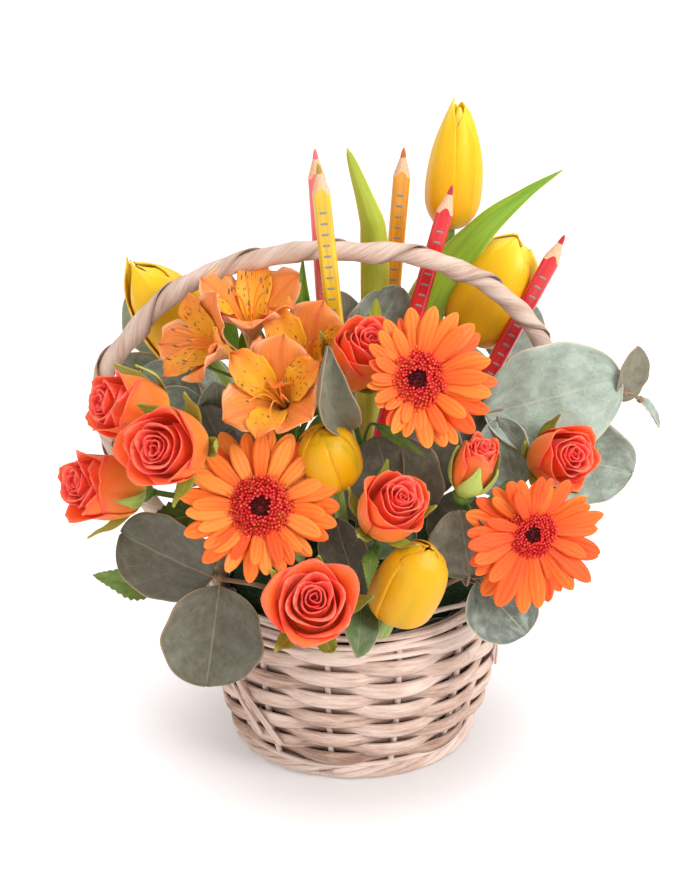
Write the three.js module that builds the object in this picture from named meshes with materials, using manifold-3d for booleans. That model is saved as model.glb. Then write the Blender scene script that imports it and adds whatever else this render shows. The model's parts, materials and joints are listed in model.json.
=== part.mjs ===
// Flower basket arrangement: a round woven basket with a hoop handle, a film liner, a block of floral foam,
// and the flowers, foliage and pencils that are pushed into the foam.
// Millimetres, +Z up, front towards -Y. The origin is the centre of the basket's underside.

import * as THREE from 'three';
import { mergeVertices } from 'three/addons/utils/BufferGeometryUtils.js';
import Module from 'manifold-3d';

// ---------------------------------------------------------------- driving dimensions

const GAP = 0.3; // left between pieces that touch

const BASKET = {
  segments: 30,
  baseRadius: 50,
  baseHeight: 4,
  footTop: 8,
  wallTop: 72,
  wallThickness: 4,
  rimTop: 80.5,
  // outer radius of the woven wall at some heights
  wallOutline: [[57.5, 8.3], [61.5, 19], [65.2, 34], [67.6, 48], [69, 72]],
};

const HANDLE = {
  rodRadius: 3,
  wrapRadius: 4.6,
  rodEnd: 28, // height of the rod's lower end, inside the weave
  // centre line above the rim, left to right, as [x, z]
  arch: [
    [-62.2, 85.5], [-71, 91], [-86, 104], [-104, 130], [-114, 158], [-111, 180], [-97, 200], [-75, 220],
    [-48, 231.5], [-18, 236.5], [18, 235.5], [42, 230], [61, 220], [76, 206], [87, 189], [93, 168],
    [93, 145], [87, 121], [76, 102], [68, 91], [62.2, 85.5],
  ],
};

const LINER = { thickness: 1, outline: [[45.2, 4.3], [53.3, 30], [57.6, 76]] };

const FOAM = { floor: 5.6, outline: [[43.9, 5.6], [52, 30], [56.2, 76], [54.5, 90], [51, 102], [43, 112]] };

const LEAF_THICKNESS = 1.5;
const TWIG_RADIUS = 1;

const GERBERA = {
  stemRadius: 2.6,
  petals: 21,
  heads: [
    {
      name: 'left', centre: [-39.4, -76, 147], facing: [-0.03, -0.86, 0.5], radius: 36,
      pressedBy: ['rose_left_front', 'rose_front', 'tulip_middle_head'],
      stem: [[-24, -42, 108], [-19, -31, 82]],
    },
    {
      name: 'top', centre: [27.4, -58, 199], facing: [0.1, -0.82, 0.56], radius: 35, pressedBy: ['rose_back'],
      stem: [[17, -24, 150], [14, -24, 110], [12, -20, 80]],
    },
    {
      name: 'right', centre: [77.2, -68, 130], facing: [0.2, -0.96, 0.19], radius: 32,
      pressedBy: ['rose_right'],
      stem: [[45, -31, 103], [33, -22, 86]],
    },
  ],
};

// spray roses: middle of the bloom, the way it faces, its largest radius and its length
const ROSES = {
  left_top: { centre: [-96.5, -52, 184], facing: [-0.85, -0.25, 0.46], radius: 16, length: 33 },
  left_low: { centre: [-107.8, -60, 149], facing: [-0.8, -0.43, 0.41], radius: 17, length: 34 },
  left_front: { centre: [-79.6, -84, 178], facing: [-0.35, -0.86, 0.36], radius: 19, length: 33 },
  back: { centre: [1, -37, 201], facing: [-0.05, -0.64, 0.76], radius: 15.5, length: 35 },
  middle: { centre: [15.5, -80, 148.5], facing: [0.05, -0.67, 0.72], radius: 16.5, length: 30 },
  front: { centre: [-17, -100, 112], facing: [0, -0.79, 0.61], radius: 20.5, length: 31 },
  right: { centre: [90, -44, 156], facing: [0.6, -0.69, 0.4], radius: 15, length: 32 },
  bud: { centre: [51.6, -66, 161], facing: [0.25, -0.26, 0.92], radius: 10.5, length: 27 },
};

// each cut rose spray: its stem, outside end last, and a branch to each of its blooms, with its leaves
const ROSE_SPRAYS = {
  left: {
    stem: [[-27, -16, 84], [-38, -24, 108], [-56, -38, 132]],
    blooms: { left_top: [[-70, -44, 158]], left_low: [[-74, -46, 138]], left_front: [[-66, -54, 154]] },
    leaves: [
      {
        base: [-86, -54, 97], tip: [-115.5, -52, 101.4], facing: [-0.2, -0.8, 0.5], width: 15,
        stalk: [-62, -44, 104],
      },
    ],
  },
  back: {
    stem: [[3, -17, 80], [4, -21, 110], [4, -23, 150]],
    blooms: { back: [] },
    leaves: [{
      base: [9, -46, 173], tip: [31, -56, 162], facing: [0.1, -0.8, 0.6], width: 7,
      stalk: [6, -36, 166],
    }],
  },
  middle: {
    stem: [[6, -33, 84], [8, -44, 104], [11, -56, 120]],
    blooms: { middle: [] },
    leaves: [{
      base: [8, -74, 126], tip: [6, -92, 117], facing: [0, -0.5, 0.86], width: 8,
      stalk: [10, -62, 124],
    }],
  },
  front: {
    stem: [[-10, -38, 76], [-12, -50, 90], [-15, -68, 96]],
    blooms: { front: [] },
    leaves: [],
  },
  right: {
    stem: [[23, -30, 82], [34, -42, 103], [48, -48, 124]],
    blooms: { right: [[64, -40, 138]], bud: [[50, -58, 138]] },
    leaves: [{
      base: [62, -42, 137], tip: [80, -46, 138], facing: [0.1, -0.8, 0.6], width: 9,
      stalk: [56, -42, 132],
    }],
  },
};

// tulip heads: where the head meets its stem, where it ends, and its largest radius
const TULIPS = {
  upper_right: {
    base: [43.6, 38, 235], tip: [48.7, 42, 294.5], radius: 14,
    stem: [[36, 32, 190], [24, 21, 112], [20, 17, 82]],
  },
  right: {
    base: [53.8, 30, 183.5], tip: [76.4, 30, 234], radius: 17,
    stem: [[44, 26, 150], [35, 24, 108], [30, 20, 84]],
  },
  left: {
    base: [-67.4, 25, 179.5], tip: [-103.4, 25, 225], radius: 16,
    stem: [[-54, 22, 150], [-34, 14, 110], [-28, 11, 84]],
  },
  middle: {
    base: [-5, -59, 150], tip: [-10, -66, 181], radius: 12.5,
    stem: [[-5, -52, 128], [-5, -40, 106], [-4, -31, 82]],
  },
  low: {
    base: [16.7, -76, 95], tip: [32.5, -87, 135.5], radius: 14.5,
    stem: [[15, -66, 92], [13, -50, 88], [10, -36, 76]],
  },
};
const TULIP_STEM_RADIUS = 3;

// long strap leaves of the tulips, as a centre line from the foot up
const STRAP_LEAVES = {
  curved: {
    line: [[22, 20.5, 120], [27, 24, 165], [33, 27, 202], [57, 26, 237], [76, 26, 254], [93.7, 26, 266]],
    width: 19, taper: 0.95,
  },
  upright: {
    line: [
      [8, 16, 90], [8, 18, 130], [8, 18, 170], [9.8, 17, 208], [9.4, 15, 238], [7, 14, 250],
      [-2.8, 14, 279.5],
    ],
    width: 12.5, taper: 0.6,
  },
};

// alstroemeria blooms: the throat, the way it faces and the radius over the tepals
const ALSTROEMERIA = {
  front: { throat: [-30.5, -50, 184.5], facing: [-0.4, -0.56, 0.73], radius: 22, pressedBy: [] },
  right: {
    throat: [-17.7, -25, 190], facing: [-0.1, -0.4, 0.91], radius: 19,
    pressedBy: ['rose_back', 'pencil_yellow'],
  },
  back: { throat: [-45, -14, 208], facing: [0, -0.24, 0.97], radius: 19, pressedBy: [] },
  left: { throat: [-60, -34, 203], facing: [-0.85, -0.46, 0.25], radius: 19, pressedBy: [] },
};
const ALSTROEMERIA_STEM = {
  stem: [[-14, -6, 82], [-17, -8, 110], [-26, -14, 150]],
  branches: {
    front: [[-25, -26, 164]], right: [[-20, -18, 166]], back: [[-38, -12, 180]], left: [[-40, -22, 186]],
  },
  leaves: [
    { base: [-24, -2, 176], tip: [-22.5, 8, 232], facing: [0, -1, 0.1], width: 11, stalk: [-25, -8, 160] },
    { base: [-54, -6, 184], tip: [-68, 11, 224], facing: [0, -0.8, 0.6], width: 9, stalk: [-40, -8, 170] },
    { base: [-62, -24, 190], tip: [-84, -20, 205], facing: [0, -0.6, 0.8], width: 7, stalk: [-46, -18, 182] },
  ],
};

const PENCIL = { length: 175, corner: 4.6, flat: 3.5, cone: 14, lead: 5.5 };
const PENCILS = {
  coral: { tip: [-16.9, 12.5, 279.4], foot: [-7, 16, 100], colour: 0xe9544c },
  yellow: { tip: [-15.1, -18.5, 281.8], foot: [1.9, -10, 104], colour: 0xf4c800 },
  orange: { tip: [22.7, 33, 274.2], foot: [10, 31, 98], colour: 0xf39200 },
  red: { tip: [44, 16.5, 261.8], foot: [-2.2, 2, 90], colour: 0xd82020 },
  red_right: { tip: [94.7, 16.5, 238.6], foot: [18, 3, 88], colour: 0xd82020 },
};

// eucalyptus sprigs: the stem from its foot in the foam, and round leaves
const EUCALYPTUS = {
  right: {
    stem: [
      [35, -6, 82], [44, -9, 104], [56, -16, 135], [65, -21, 165], [78, -15, 172],
      [95, -12, 172], [121, -12, 174], [129, -8, 169],
    ],
    leaves: [
      { base: [67, -23, 170], tip: [119, -17, 178], facing: [0.05, -0.96, 0.25], width: 45 },
      { base: [65, -25, 166], tip: [69, -42, 150], facing: [-0.4, -0.8, 0.4], width: 18 },
      { base: [86, -12, 148], tip: [127, -12, 134], facing: [0.1, -1, 0], width: 42, stalk: [66, -16, 152] },
      { base: [121, -12, 175], tip: [125, -11, 193], facing: [0.5, -0.8, 0.2], width: 13 },
      { base: [129, -8, 168], tip: [139.5, -4, 154], facing: [0.8, -0.3, 0.5], width: 8 },
    ],
  },
  front_right: {
    stem: [[32, -36, 80], [42, -43, 94], [51, -60, 107]],
    leaves: [
      { base: [54, -64, 106], tip: [76, -72, 84], facing: [0.2, -0.96, 0.2], width: 33 },
      { base: [51, -64, 108], tip: [46, -68, 141], facing: [-0.1, -1, 0], width: 33 },
      { base: [45, -52, 112], tip: [37, -53, 136], facing: [-0.3, -0.9, 0.3], width: 17 },
    ],
  },
  middle: {
    stem: [[17, -31, 82], [22, -42, 106], [26, -50, 128]],
    leaves: [
      { base: [24, -51, 130], tip: [19, -46, 162], facing: [0, -0.97, 0.2], width: 42 },
      { base: [33, -46, 138], tip: [32, -34, 173], facing: [0.1, -0.95, 0.2], width: 23 },
    ],
  },
  front_left: {
    stem: [[-28, -30, 78], [-40, -42, 92], [-58, -72, 111]],
    leaves: [
      { base: [-61, -72, 112], tip: [-103, -54, 124], facing: [-0.3, -0.9, 0.25], width: 38 },
      { base: [-58, -75, 109], tip: [-64, -89, 67], facing: [0.05, -0.95, 0.3], width: 44 },
    ],
  },
  left: {
    stem: [[-28, -2, 82], [-37, -3, 108], [-56, -10, 140], [-68, -16, 164]],
    leaves: [
      { base: [-70, -17, 168], tip: [-94, -14, 186], facing: [-0.2, -0.8, 0.5], width: 25 },
      { base: [-68, -19, 166], tip: [-84, -28, 181], facing: [-0.2, -0.8, 0.5], width: 15 },
      { base: [-62, -17, 160], tip: [-60, -28, 182], facing: [0.2, -0.9, 0.4], width: 17 },
      {
        base: [-78, -18, 150], tip: [-106, -32, 158], facing: [-0.3, -0.8, 0.5], width: 18,
        stalk: [-60, -13, 148],
      },
    ],
  },
  folded: {
    stem: [[-5, -24, 82], [-8, -33, 108], [-9, -40, 150], [-6, -50, 174]],
    leaves: [{ base: [-5, -52, 176], tip: [-14, -53, 205], facing: [-0.5, -0.8, 0.3], width: 18 }],
  },
  low_front: {
    stem: [[1, -42, 76], [2, -52, 88], [3, -64, 98]],
    leaves: [
      { base: [3, -67, 101], tip: [-8, -71, 138], facing: [-0.2, -0.96, 0.2], width: 24 },
      { base: [3, -68, 98], tip: [2, -98, 88], facing: [0.3, -0.5, 0.8], width: 16 },
    ],
  },
  back: {
    stem: [[1, 30, 80], [1, 42, 115], [-2, 36, 150], [0, 25, 174]],
    leaves: [
      { base: [1, 20, 178], tip: [22, 19, 212], facing: [0.1, -0.98, 0.1], width: 30 },
      { base: [-4, 27, 172], tip: [-6, 26, 208], facing: [-0.1, -0.98, 0.1], width: 26 },
      { base: [-4, 42, 140], tip: [-12, 58, 172], facing: [-0.2, 0.9, 0.4], width: 30 },
      { base: [4, 46, 122], tip: [18, 74, 140], facing: [0.2, 0.7, 0.7], width: 32 },
      { base: [0, 53, 118], tip: [-10, 84, 104], facing: [-0.1, 0.6, 0.8], width: 34 },
    ],
  },
  back_left: {
    stem: [[-24, 24, 80], [-34, 32, 106], [-56, 40, 136], [-78, 42, 164]],
    leaves: [
      { base: [-82, 45, 170], tip: [-103, 45, 202], facing: [-0.2, -0.95, 0.2], width: 28 },
      { base: [-82, 36, 165], tip: [-110, 17, 178], facing: [-0.2, -0.9, 0.3], width: 14 },
      { base: [-58, 42, 138], tip: [-70, 66, 160], facing: [-0.4, 0.8, 0.4], width: 28 },
      { base: [-44, 38, 120], tip: [-60, 70, 118], facing: [-0.3, 0.7, 0.7], width: 32 },
      { base: [-50, 34, 116], tip: [-86, 36, 104], facing: [-0.5, 0.3, 0.8], width: 32 },
    ],
  },
  back_right: {
    stem: [[24, 34, 78], [36, 38, 104], [54, 44, 134], [66, 50, 160]],
    leaves: [
      { base: [68, 53, 164], tip: [84, 58, 192], facing: [0.3, 0.9, 0.3], width: 28 },
      { base: [60, 50, 146], tip: [40, 64, 170], facing: [-0.1, 0.9, 0.4], width: 27 },
      { base: [58, 44, 130], tip: [92, 46, 134], facing: [0.5, 0.6, 0.6], width: 30 },
      { base: [44, 44, 116], tip: [56, 76, 108], facing: [0.3, 0.6, 0.7], width: 33 },
      { base: [46, 36, 110], tip: [80, 30, 98], facing: [0.5, 0.2, 0.8], width: 31 },
    ],
  },
};

// ---------------------------------------------------------------- finishes

const finish = (color, roughness, metalness = 0) => (
  new THREE.MeshStandardMaterial({ color, roughness, metalness })
);
const WILLOW = finish(0xc9ad98, 0.8);
const FILM = finish(0x3c3a3a, 0.3);
const FOAM_GREEN = finish(0x2f4a34, 0.95);
const GREEN_STEM = finish(0x6f8f3a, 0.6);
const TWIG_AND_LEAF = finish(0x76827a, 0.65);
const GERBERA_PETAL = finish(0xf47a2a, 0.55);
const GERBERA_EYE = finish(0xb01c30, 0.7);
const ROSE_PETAL = finish(0xe8502f, 0.55);
const TULIP_PETAL = finish(0xf6c617, 0.45);
const ALSTROEMERIA_PETAL = finish(0xf09a50, 0.5);

// ---------------------------------------------------------------- making solids

const wasm = await Module();
wasm.setup();

const vec = (point) => new THREE.Vector3(...point);
const beyond = (point, direction, distance) => (
  vec(point).addScaledVector(vec(direction).normalize(), distance)
);

function toSolid(geometry) {
  const bare = geometry.clone();
  bare.deleteAttribute('normal');
  bare.deleteAttribute('uv');
  const merged = mergeVertices(bare, 1e-4);
  return new wasm.Manifold(new wasm.Mesh({
    numProp: 3,
    vertProperties: new Float32Array(merged.attributes.position.array),
    triVerts: new Uint32Array(merged.index.array),
  }));
}

function toGeometry(solid) {
  const mesh = solid.getMesh();
  const geometry = new THREE.BufferGeometry();
  geometry.setAttribute('position', new THREE.BufferAttribute(mesh.vertProperties, 3));
  geometry.setIndex(new THREE.BufferAttribute(mesh.triVerts, 1));
  geometry.computeVertexNormals();
  return geometry;
}

const join = (geometries) => toGeometry(geometries.map(toSolid).reduce((whole, piece) => whole.add(piece)));

const cut = (geometry, tools) => toGeometry(
  tools.map(toSolid).reduce((whole, tool) => whole.subtract(tool), toSolid(geometry)),
);

// Moves every vertex of a closed geometry by the same rule, so that it stays closed.
function reshape(geometry, move) {
  const places = geometry.attributes.position;
  const vertex = new THREE.Vector3();
  for (let index = 0; index < places.count; index += 1) {
    vertex.fromBufferAttribute(places, index);
    move(vertex);
    places.setXYZ(index, vertex.x, vertex.y, vertex.z);
  }
  geometry.computeVertexNormals();
  return geometry;
}

// A body of revolution about Z. The outline runs from the bottom outwards and up, or closes on itself.
function turned(outline, segments) {
  const lathe = new THREE.LatheGeometry(outline.map(([radius, z]) => new THREE.Vector2(radius, z)), segments);
  return lathe.rotateX(Math.PI / 2);
}

const ring = (outline, segments) => turned([...outline, outline[0]], segments);

// A round rod along a smooth line through the points.
function rod(points, radius, sides = 6, stepsPerSpan = 2) {
  const corners = [];
  for (let side = 0; side < sides; side += 1) {
    const angle = (2 * Math.PI * side) / sides;
    corners.push(new THREE.Vector2(radius * Math.cos(angle), radius * Math.sin(angle)));
  }
  const line = new THREE.CatmullRomCurve3(points.map(vec), false, 'centripetal');
  return new THREE.ExtrudeGeometry(new THREE.Shape(corners), {
    steps: stepsPerSpan * (points.length - 1), bevelEnabled: false, extrudePath: line,
  });
}

// A leaf blade: a ball pressed flat, from its base to its tip, with its upper side to the facing direction.
function blade({ base, tip, facing, width }, across = 8, along = 4) {
  const length = vec(tip).distanceTo(vec(base));
  const lengthwise = vec(tip).sub(vec(base)).normalize();
  const upward = vec(facing).addScaledVector(lengthwise, -vec(facing).dot(lengthwise)).normalize();
  const sideways = new THREE.Vector3().crossVectors(lengthwise, upward);
  const ball = new THREE.SphereGeometry(1, across, along);
  reshape(ball, (v) => v.set((v.x * width) / 2, ((v.y + 1) * length) / 2, (v.z * LEAF_THICKNESS) / 2));
  const place = new THREE.Matrix4().makeBasis(sideways, lengthwise, upward).setPosition(vec(base));
  return ball.applyMatrix4(place);
}

// A blade with the stalk that joins it to the nearest knot of its stem.
function stalkedLeaf(leaf, stem) {
  const start = leaf.stalk ?? leaf.base;
  const nearest = stem.reduce((best, knot) => (
    vec(knot).distanceTo(vec(start)) < vec(best).distanceTo(vec(start)) ? knot : best
  ));
  const inside = vec(leaf.base).lerp(vec(leaf.tip), 0.2).toArray();
  const line = leaf.stalk ? [nearest, leaf.stalk, leaf.base, inside] : [nearest, leaf.base, inside];
  return [blade(leaf), rod(line, TWIG_RADIUS * 0.8, 4, 1)];
}

// The matrix that stands a piece made about +Z at a place, facing a direction.
function standing(place, facing, roll = 0) {
  const turn = new THREE.Quaternion().setFromUnitVectors(new THREE.Vector3(0, 0, 1), vec(facing).normalize());
  const spin = new THREE.Quaternion().setFromAxisAngle(new THREE.Vector3(0, 0, 1), roll);
  return new THREE.Matrix4().compose(vec(place), turn.multiply(spin), new THREE.Vector3(1, 1, 1));
}

// ---------------------------------------------------------------- assembly

const arrangement = new THREE.Group();
const bores = []; // what the foam is pierced by, with the clearance
const swollen = {}; // heads with the clearance round them, which press their softer neighbours

function add(name, geometry, material, matrix = new THREE.Matrix4(), parent = arrangement) {
  const mesh = new THREE.Mesh(geometry, material);
  mesh.name = name;
  mesh.applyMatrix4(matrix);
  parent.add(mesh);
}

// A soft piece with hollows where the named heads press into it.
function pressed(geometry, heads) {
  return heads.length ? cut(geometry, heads.map((head) => swollen[head])) : geometry;
}

// Notes the hole that a stem leaves in the foam, a little longer and wider than the stem.
function pierce(points, radius, sides, stepsPerSpan) {
  const [foot, next] = points;
  const deeper = vec(foot).addScaledVector(vec(foot).sub(vec(next)).normalize(), GAP).toArray();
  bores.push(rod([deeper, ...points.slice(1)], radius + 1.2 * GAP, sides, stepsPerSpan));
}

// ---------------------------------------------------------------- basket

// Outer radius of the woven wall at a height.
function wallRadius(z) {
  const { wallOutline } = BASKET;
  const above = wallOutline.findIndex(([, height]) => height >= z);
  const [r1, z1] = wallOutline[Math.max(above, 1)];
  const [r0, z0] = wallOutline[Math.max(above, 1) - 1];
  return r0 + ((r1 - r0) * (z - z0)) / (z1 - z0);
}

function makeBasket() {
  const basket = new THREE.Group();
  arrangement.add(basket);
  const { segments, baseRadius, baseHeight, footTop, wallTop, wallThickness, rimTop, wallOutline } = BASKET;
  const put = (name, geometry) => add(name, geometry, WILLOW, undefined, basket);

  put('basket_base', turned([[0, 0], [baseRadius, 0], [baseRadius, baseHeight], [0, baseHeight]], segments));

  const footInner = baseRadius + GAP;
  put('basket_foot', ring([
    [footInner, 0], [55.7, 0], [57.8, 3.5], [57.3, footTop], [footInner + 1, footTop],
  ], segments));

  const inner = wallOutline.map(([radius, z]) => [radius - wallThickness, z]).reverse();
  put('basket_wall', ring([...wallOutline, ...inner], segments));

  const rimFloor = wallTop + GAP;
  put('basket_rim', ring([
    [65.4, rimFloor + 0.6], [68.4, rimFloor], [71.3, rimFloor + 2.4], [71.5, rimTop - 2.6], [69, rimTop],
    [66.4, rimTop - 0.4], [65.3, rimTop - 3],
  ], segments));

  const leg = (side, z) => [side * (wallRadius(z) - wallThickness - HANDLE.rodRadius - 0.5), 0, z];
  const arch = HANDLE.arch.map(([x, z]) => [x, 0, z]);
  const left = [leg(-1, HANDLE.rodEnd), leg(-1, 50), leg(-1, wallTop)];
  const right = [leg(1, wallTop), leg(1, 50), leg(1, HANDLE.rodEnd)];
  const core = (line) => rod(line, HANDLE.rodRadius, 6, 1);
  put('basket_handle', join([
    rod(arch, HANDLE.wrapRadius, 8, 1),
    core([...left, arch[0], arch[1]]),
    core([arch[arch.length - 2], arch[arch.length - 1], ...right]),
  ]));
}

function makeFilling() {
  const { segments } = BASKET;
  const { thickness, outline } = LINER;
  const floor = outline[0][1];
  const inner = outline.map(([radius, z]) => [radius - thickness, Math.max(z, floor + thickness)]).reverse();
  add('liner', turned([[0, floor], ...outline, ...inner, [0, floor + thickness]], segments), FILM);
  const block = turned([[0, FOAM.floor], ...FOAM.outline, [0, FOAM.outline.at(-1)[1]]], segments);
  add('floral_foam', cut(block, bores), FOAM_GREEN);
}

// ---------------------------------------------------------------- roses

// A bloom about +Z with its middle at the origin: a cup of petals with five lobes, hollowed at the heart.
function roseBloom({ radius, length }, clearance = 0) {
  const half = length / 2;
  const wide = radius + clearance;
  const bloom = turned([
    [0, -half - clearance], [wide * 0.4, 0.02 * length - half - clearance], [wide * 0.78, -0.55 * half],
    [wide * 0.97, 0.1 * half], [wide, 0.55 * half], [wide * 0.8, half + clearance],
    [wide * 0.45, 0.72 * half],
    [wide * 0.2, 0.95 * half + clearance], [0, 0.9 * half + clearance],
  ], 10);
  return reshape(bloom, (v) => {
    const wave = 1 - 0.05 * (1 + Math.cos(5 * Math.atan2(v.y, v.x) + v.z * 0.1));
    v.set(v.x * wave, v.y * wave, v.z);
  });
}

const CALYX = { radius: 4.6, length: 6 };

// The green cup under a bloom, from its base down to its stem.
function calyx(base, facing, stemRadius) {
  const cup = turned([
    [0, -CALYX.length - 2], [stemRadius, -CALYX.length - 2], [stemRadius + 0.3, -CALYX.length],
    [CALYX.radius, -1.5], [CALYX.radius, 0], [0, 0],
  ], 8);
  return cup.applyMatrix4(standing(base, facing));
}

function makeRoses() {
  const stemRadius = 1.7;
  for (const [name, rose] of Object.entries(ROSES)) {
    const place = standing(rose.centre, rose.facing);
    const title = name === 'bud' ? 'rose_bud' : `rose_${name}`;
    add(title, roseBloom(rose), ROSE_PETAL, place);
    swollen[title] = roseBloom(rose, 2 * GAP).applyMatrix4(place);
  }
  for (const [name, spray] of Object.entries(ROSE_SPRAYS)) {
    const pieces = [rod(spray.stem, stemRadius, 5)];
    const knots = [...spray.stem];
    for (const [bloom, branch] of Object.entries(spray.blooms)) {
      const { centre, facing, length } = ROSES[bloom];
      const under = beyond(centre, facing, -(length / 2 + GAP)).toArray();
      const lowest = beyond(centre, facing, -(length / 2 + CALYX.length + 2)).toArray();
      pieces.push(calyx(under, facing, stemRadius));
      pieces.push(rod([spray.stem.at(-1), ...branch, lowest], stemRadius * 0.8, 5, 1));
      knots.push(...branch);
    }
    for (const leaf of spray.leaves) {
      pieces.push(...stalkedLeaf(leaf, knots));
    }
    add(`rose_spray_${name}`, join(pieces), GREEN_STEM);
    pierce(spray.stem, stemRadius, 5);
  }
}

// ---------------------------------------------------------------- gerberas

function makeGerberas() {
  const { stemRadius, petals, heads } = GERBERA;
  for (const { name, centre, facing, radius, stem, pressedBy } of heads) {
    const place = standing(centre, facing);
    const rays = ring([
      [8, -2.4], [radius * 0.6, -0.6], [radius, 0.6], [radius, 1.5], [8, -0.3],
    ], 2 * petals);
    reshape(rays, (v) => {
      const reach = Math.hypot(v.x, v.y) / radius;
      const notch = 1 - 0.13 * reach ** 4 * (0.5 - 0.5 * Math.cos(petals * Math.atan2(v.y, v.x)));
      v.set(v.x * notch, v.y * notch, v.z);
    });
    add(`gerbera_${name}_petals`, pressed(rays.applyMatrix4(place), pressedBy), GERBERA_PETAL);
    add(`gerbera_${name}_centre`, turned([
      [0, -4.6], [7.6, -4.6], [7.6, 0], [10.8, 0.2 + 1.2], [10, 3.6], [5.5, 4.8], [3, 3.8], [0, 3.8],
    ], 14), GERBERA_EYE, place);

    const cup = turned([[0, -13], [stemRadius, -13], [6, -9.5], [8.6, -4.9], [0, -4.9]], 12);
    cup.applyMatrix4(place);
    const neck = [beyond(centre, facing, -11).toArray(), beyond(centre, facing, -19).toArray()];
    const line = [...neck, ...stem].reverse();
    add(`gerbera_${name}_stem`, join([cup, rod(line, stemRadius)]), GREEN_STEM);
    pierce(line, stemRadius);
  }
}

// ---------------------------------------------------------------- tulips

// A long strap leaf: a flat rod that widens from its foot and narrows to its tip.
function strap({ line, width, taper, clearance = 0 }) {
  const path = new THREE.CatmullRomCurve3(line.map(vec), false, 'centripetal');
  const steps = 12;
  const geometry = new THREE.CylinderGeometry(1, 1, 1, 4, steps);
  return reshape(geometry, (v) => {
    const along = Math.min(Math.max(v.y + 0.5, 0), 1);
    const centre = path.getPointAt(along);
    const tangent = path.getTangentAt(along);
    const sideways = new THREE.Vector3(0, -1, 0).cross(tangent).normalize();
    const outward = new THREE.Vector3().crossVectors(sideways, tangent);
    const breadth = width * Math.min(0.45 + 2.2 * along, 1, 0.03 + 2.2 * (1 - along) ** taper);
    const flat = v.x * (breadth * 0.5 + clearance);
    const thick = v.z * (LEAF_THICKNESS * 0.6 + clearance);
    v.copy(centre).addScaledVector(sideways, flat).addScaledVector(outward, thick);
  });
}

// A closed tulip head about +Z, standing on the origin, with three folds.
function tulipHead(radius, length, clearance = 0) {
  const wide = radius + clearance;
  const head = turned([
    [0, -clearance], [wide * 0.45, 0.01 * length - clearance], [wide * 0.83, 0.11 * length],
    [wide, 0.3 * length], [wide * 0.97, 0.52 * length], [wide * 0.76, 0.76 * length],
    [wide * 0.42, 0.94 * length + clearance],
    [wide * 0.2, length + clearance], [0, 0.96 * length + clearance],
  ], 9);
  return reshape(head, (v) => {
    const fold = 1 - 0.06 * (1 - Math.cos(3 * Math.atan2(v.y, v.x)));
    v.set(v.x * fold, v.y * fold, v.z);
  });
}

function makeTulips() {
  for (const [name, { base, tip, radius, stem }] of Object.entries(TULIPS)) {
    const facing = vec(tip).sub(vec(base));
    const place = standing(base, facing.toArray());
    add(`tulip_${name}_head`, tulipHead(radius, facing.length()), TULIP_PETAL, place);
    swollen[`tulip_${name}_head`] = tulipHead(radius, facing.length(), 2 * GAP).applyMatrix4(place);
    const top = beyond(base, facing.toArray(), -GAP);
    const neck = beyond(base, facing.toArray(), -10);
    const line = [top.toArray(), neck.toArray(), ...stem].reverse();
    const pieces = [rod(line, TULIP_STEM_RADIUS)];
    if (name === 'upper_right') pieces.push(strap(STRAP_LEAVES.curved));
    add(`tulip_${name}_stem`, join(pieces), GREEN_STEM);
    pierce(line, TULIP_STEM_RADIUS);
  }
  add('tulip_leaf_upright', strap(STRAP_LEAVES.upright), GREEN_STEM);
  const { line, ...shape } = STRAP_LEAVES.upright;
  const [[x, y, z], ...above] = line;
  bores.push(strap({ ...shape, line: [[x, y, z - GAP], ...above], clearance: GAP }));
}

// ---------------------------------------------------------------- alstroemeria

function makeAlstroemeria() {
  const { stem, branches, leaves } = ALSTROEMERIA_STEM;
  const tube = 14; // from the throat back to the stem
  const pieces = [rod(stem, 2)];
  const knots = [...stem];
  for (const [name, { throat, facing, radius, pressedBy }] of Object.entries(ALSTROEMERIA)) {
    const place = standing(throat, facing);
    const funnel = turned([
      [0, -tube], [2.4, -tube], [3.6, -5], [9, 2.6], [radius, 12], [radius, 13.2], [8, 5.4], [0, -1],
    ], 12);
    reshape(funnel, (v) => {
      const reach = Math.max(Math.hypot(v.x, v.y) / radius - 0.3, 0);
      const notch = 1 - 0.4 * reach * (0.5 - 0.5 * Math.cos(6 * Math.atan2(v.y, v.x)));
      v.set(v.x * notch, v.y * notch, v.z);
    });
    add(`alstroemeria_${name}`, pressed(funnel.applyMatrix4(place), pressedBy), ALSTROEMERIA_PETAL);
    const top = beyond(throat, facing, -(tube + GAP)).toArray();
    const neck = beyond(throat, facing, -(tube + 6)).toArray();
    pieces.push(rod([stem.at(-1), ...branches[name], neck, top], 1.3, 5, 1));
    knots.push(...branches[name]);
  }
  for (const leaf of leaves) {
    pieces.push(...stalkedLeaf(leaf, knots));
  }
  add('alstroemeria_spray', join(pieces), GREEN_STEM);
  pierce(stem, 2);
}

// ---------------------------------------------------------------- pencils

// A sharpened pencil of rounded triangular section, standing on the origin.
function pencil(clearance = 0) {
  const { length, corner, flat, cone, lead } = PENCIL;
  const stations = [
    { z: -clearance }, { z: length - cone }, { z: length - lead, round: 1.5 }, { z: length, round: 0.6 },
  ];
  const sides = 9;
  const shape = new THREE.CylinderGeometry(1, 1, 1, sides, stations.length - 1);
  return reshape(shape, (v) => {
    const station = stations[Math.round((v.y + 0.5) * (stations.length - 1))];
    const angle = Math.atan2(v.x, v.z);
    const isCorner = Math.cos(3 * angle) > 0.9;
    const side = flat / Math.cos(Math.PI / sides);
    const outer = (isCorner ? corner : side) + clearance;
    const size = Math.hypot(v.x, v.z) * (station.round ?? outer);
    v.set(size * Math.cos(angle), size * Math.sin(angle), station.z);
  });
}

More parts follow.
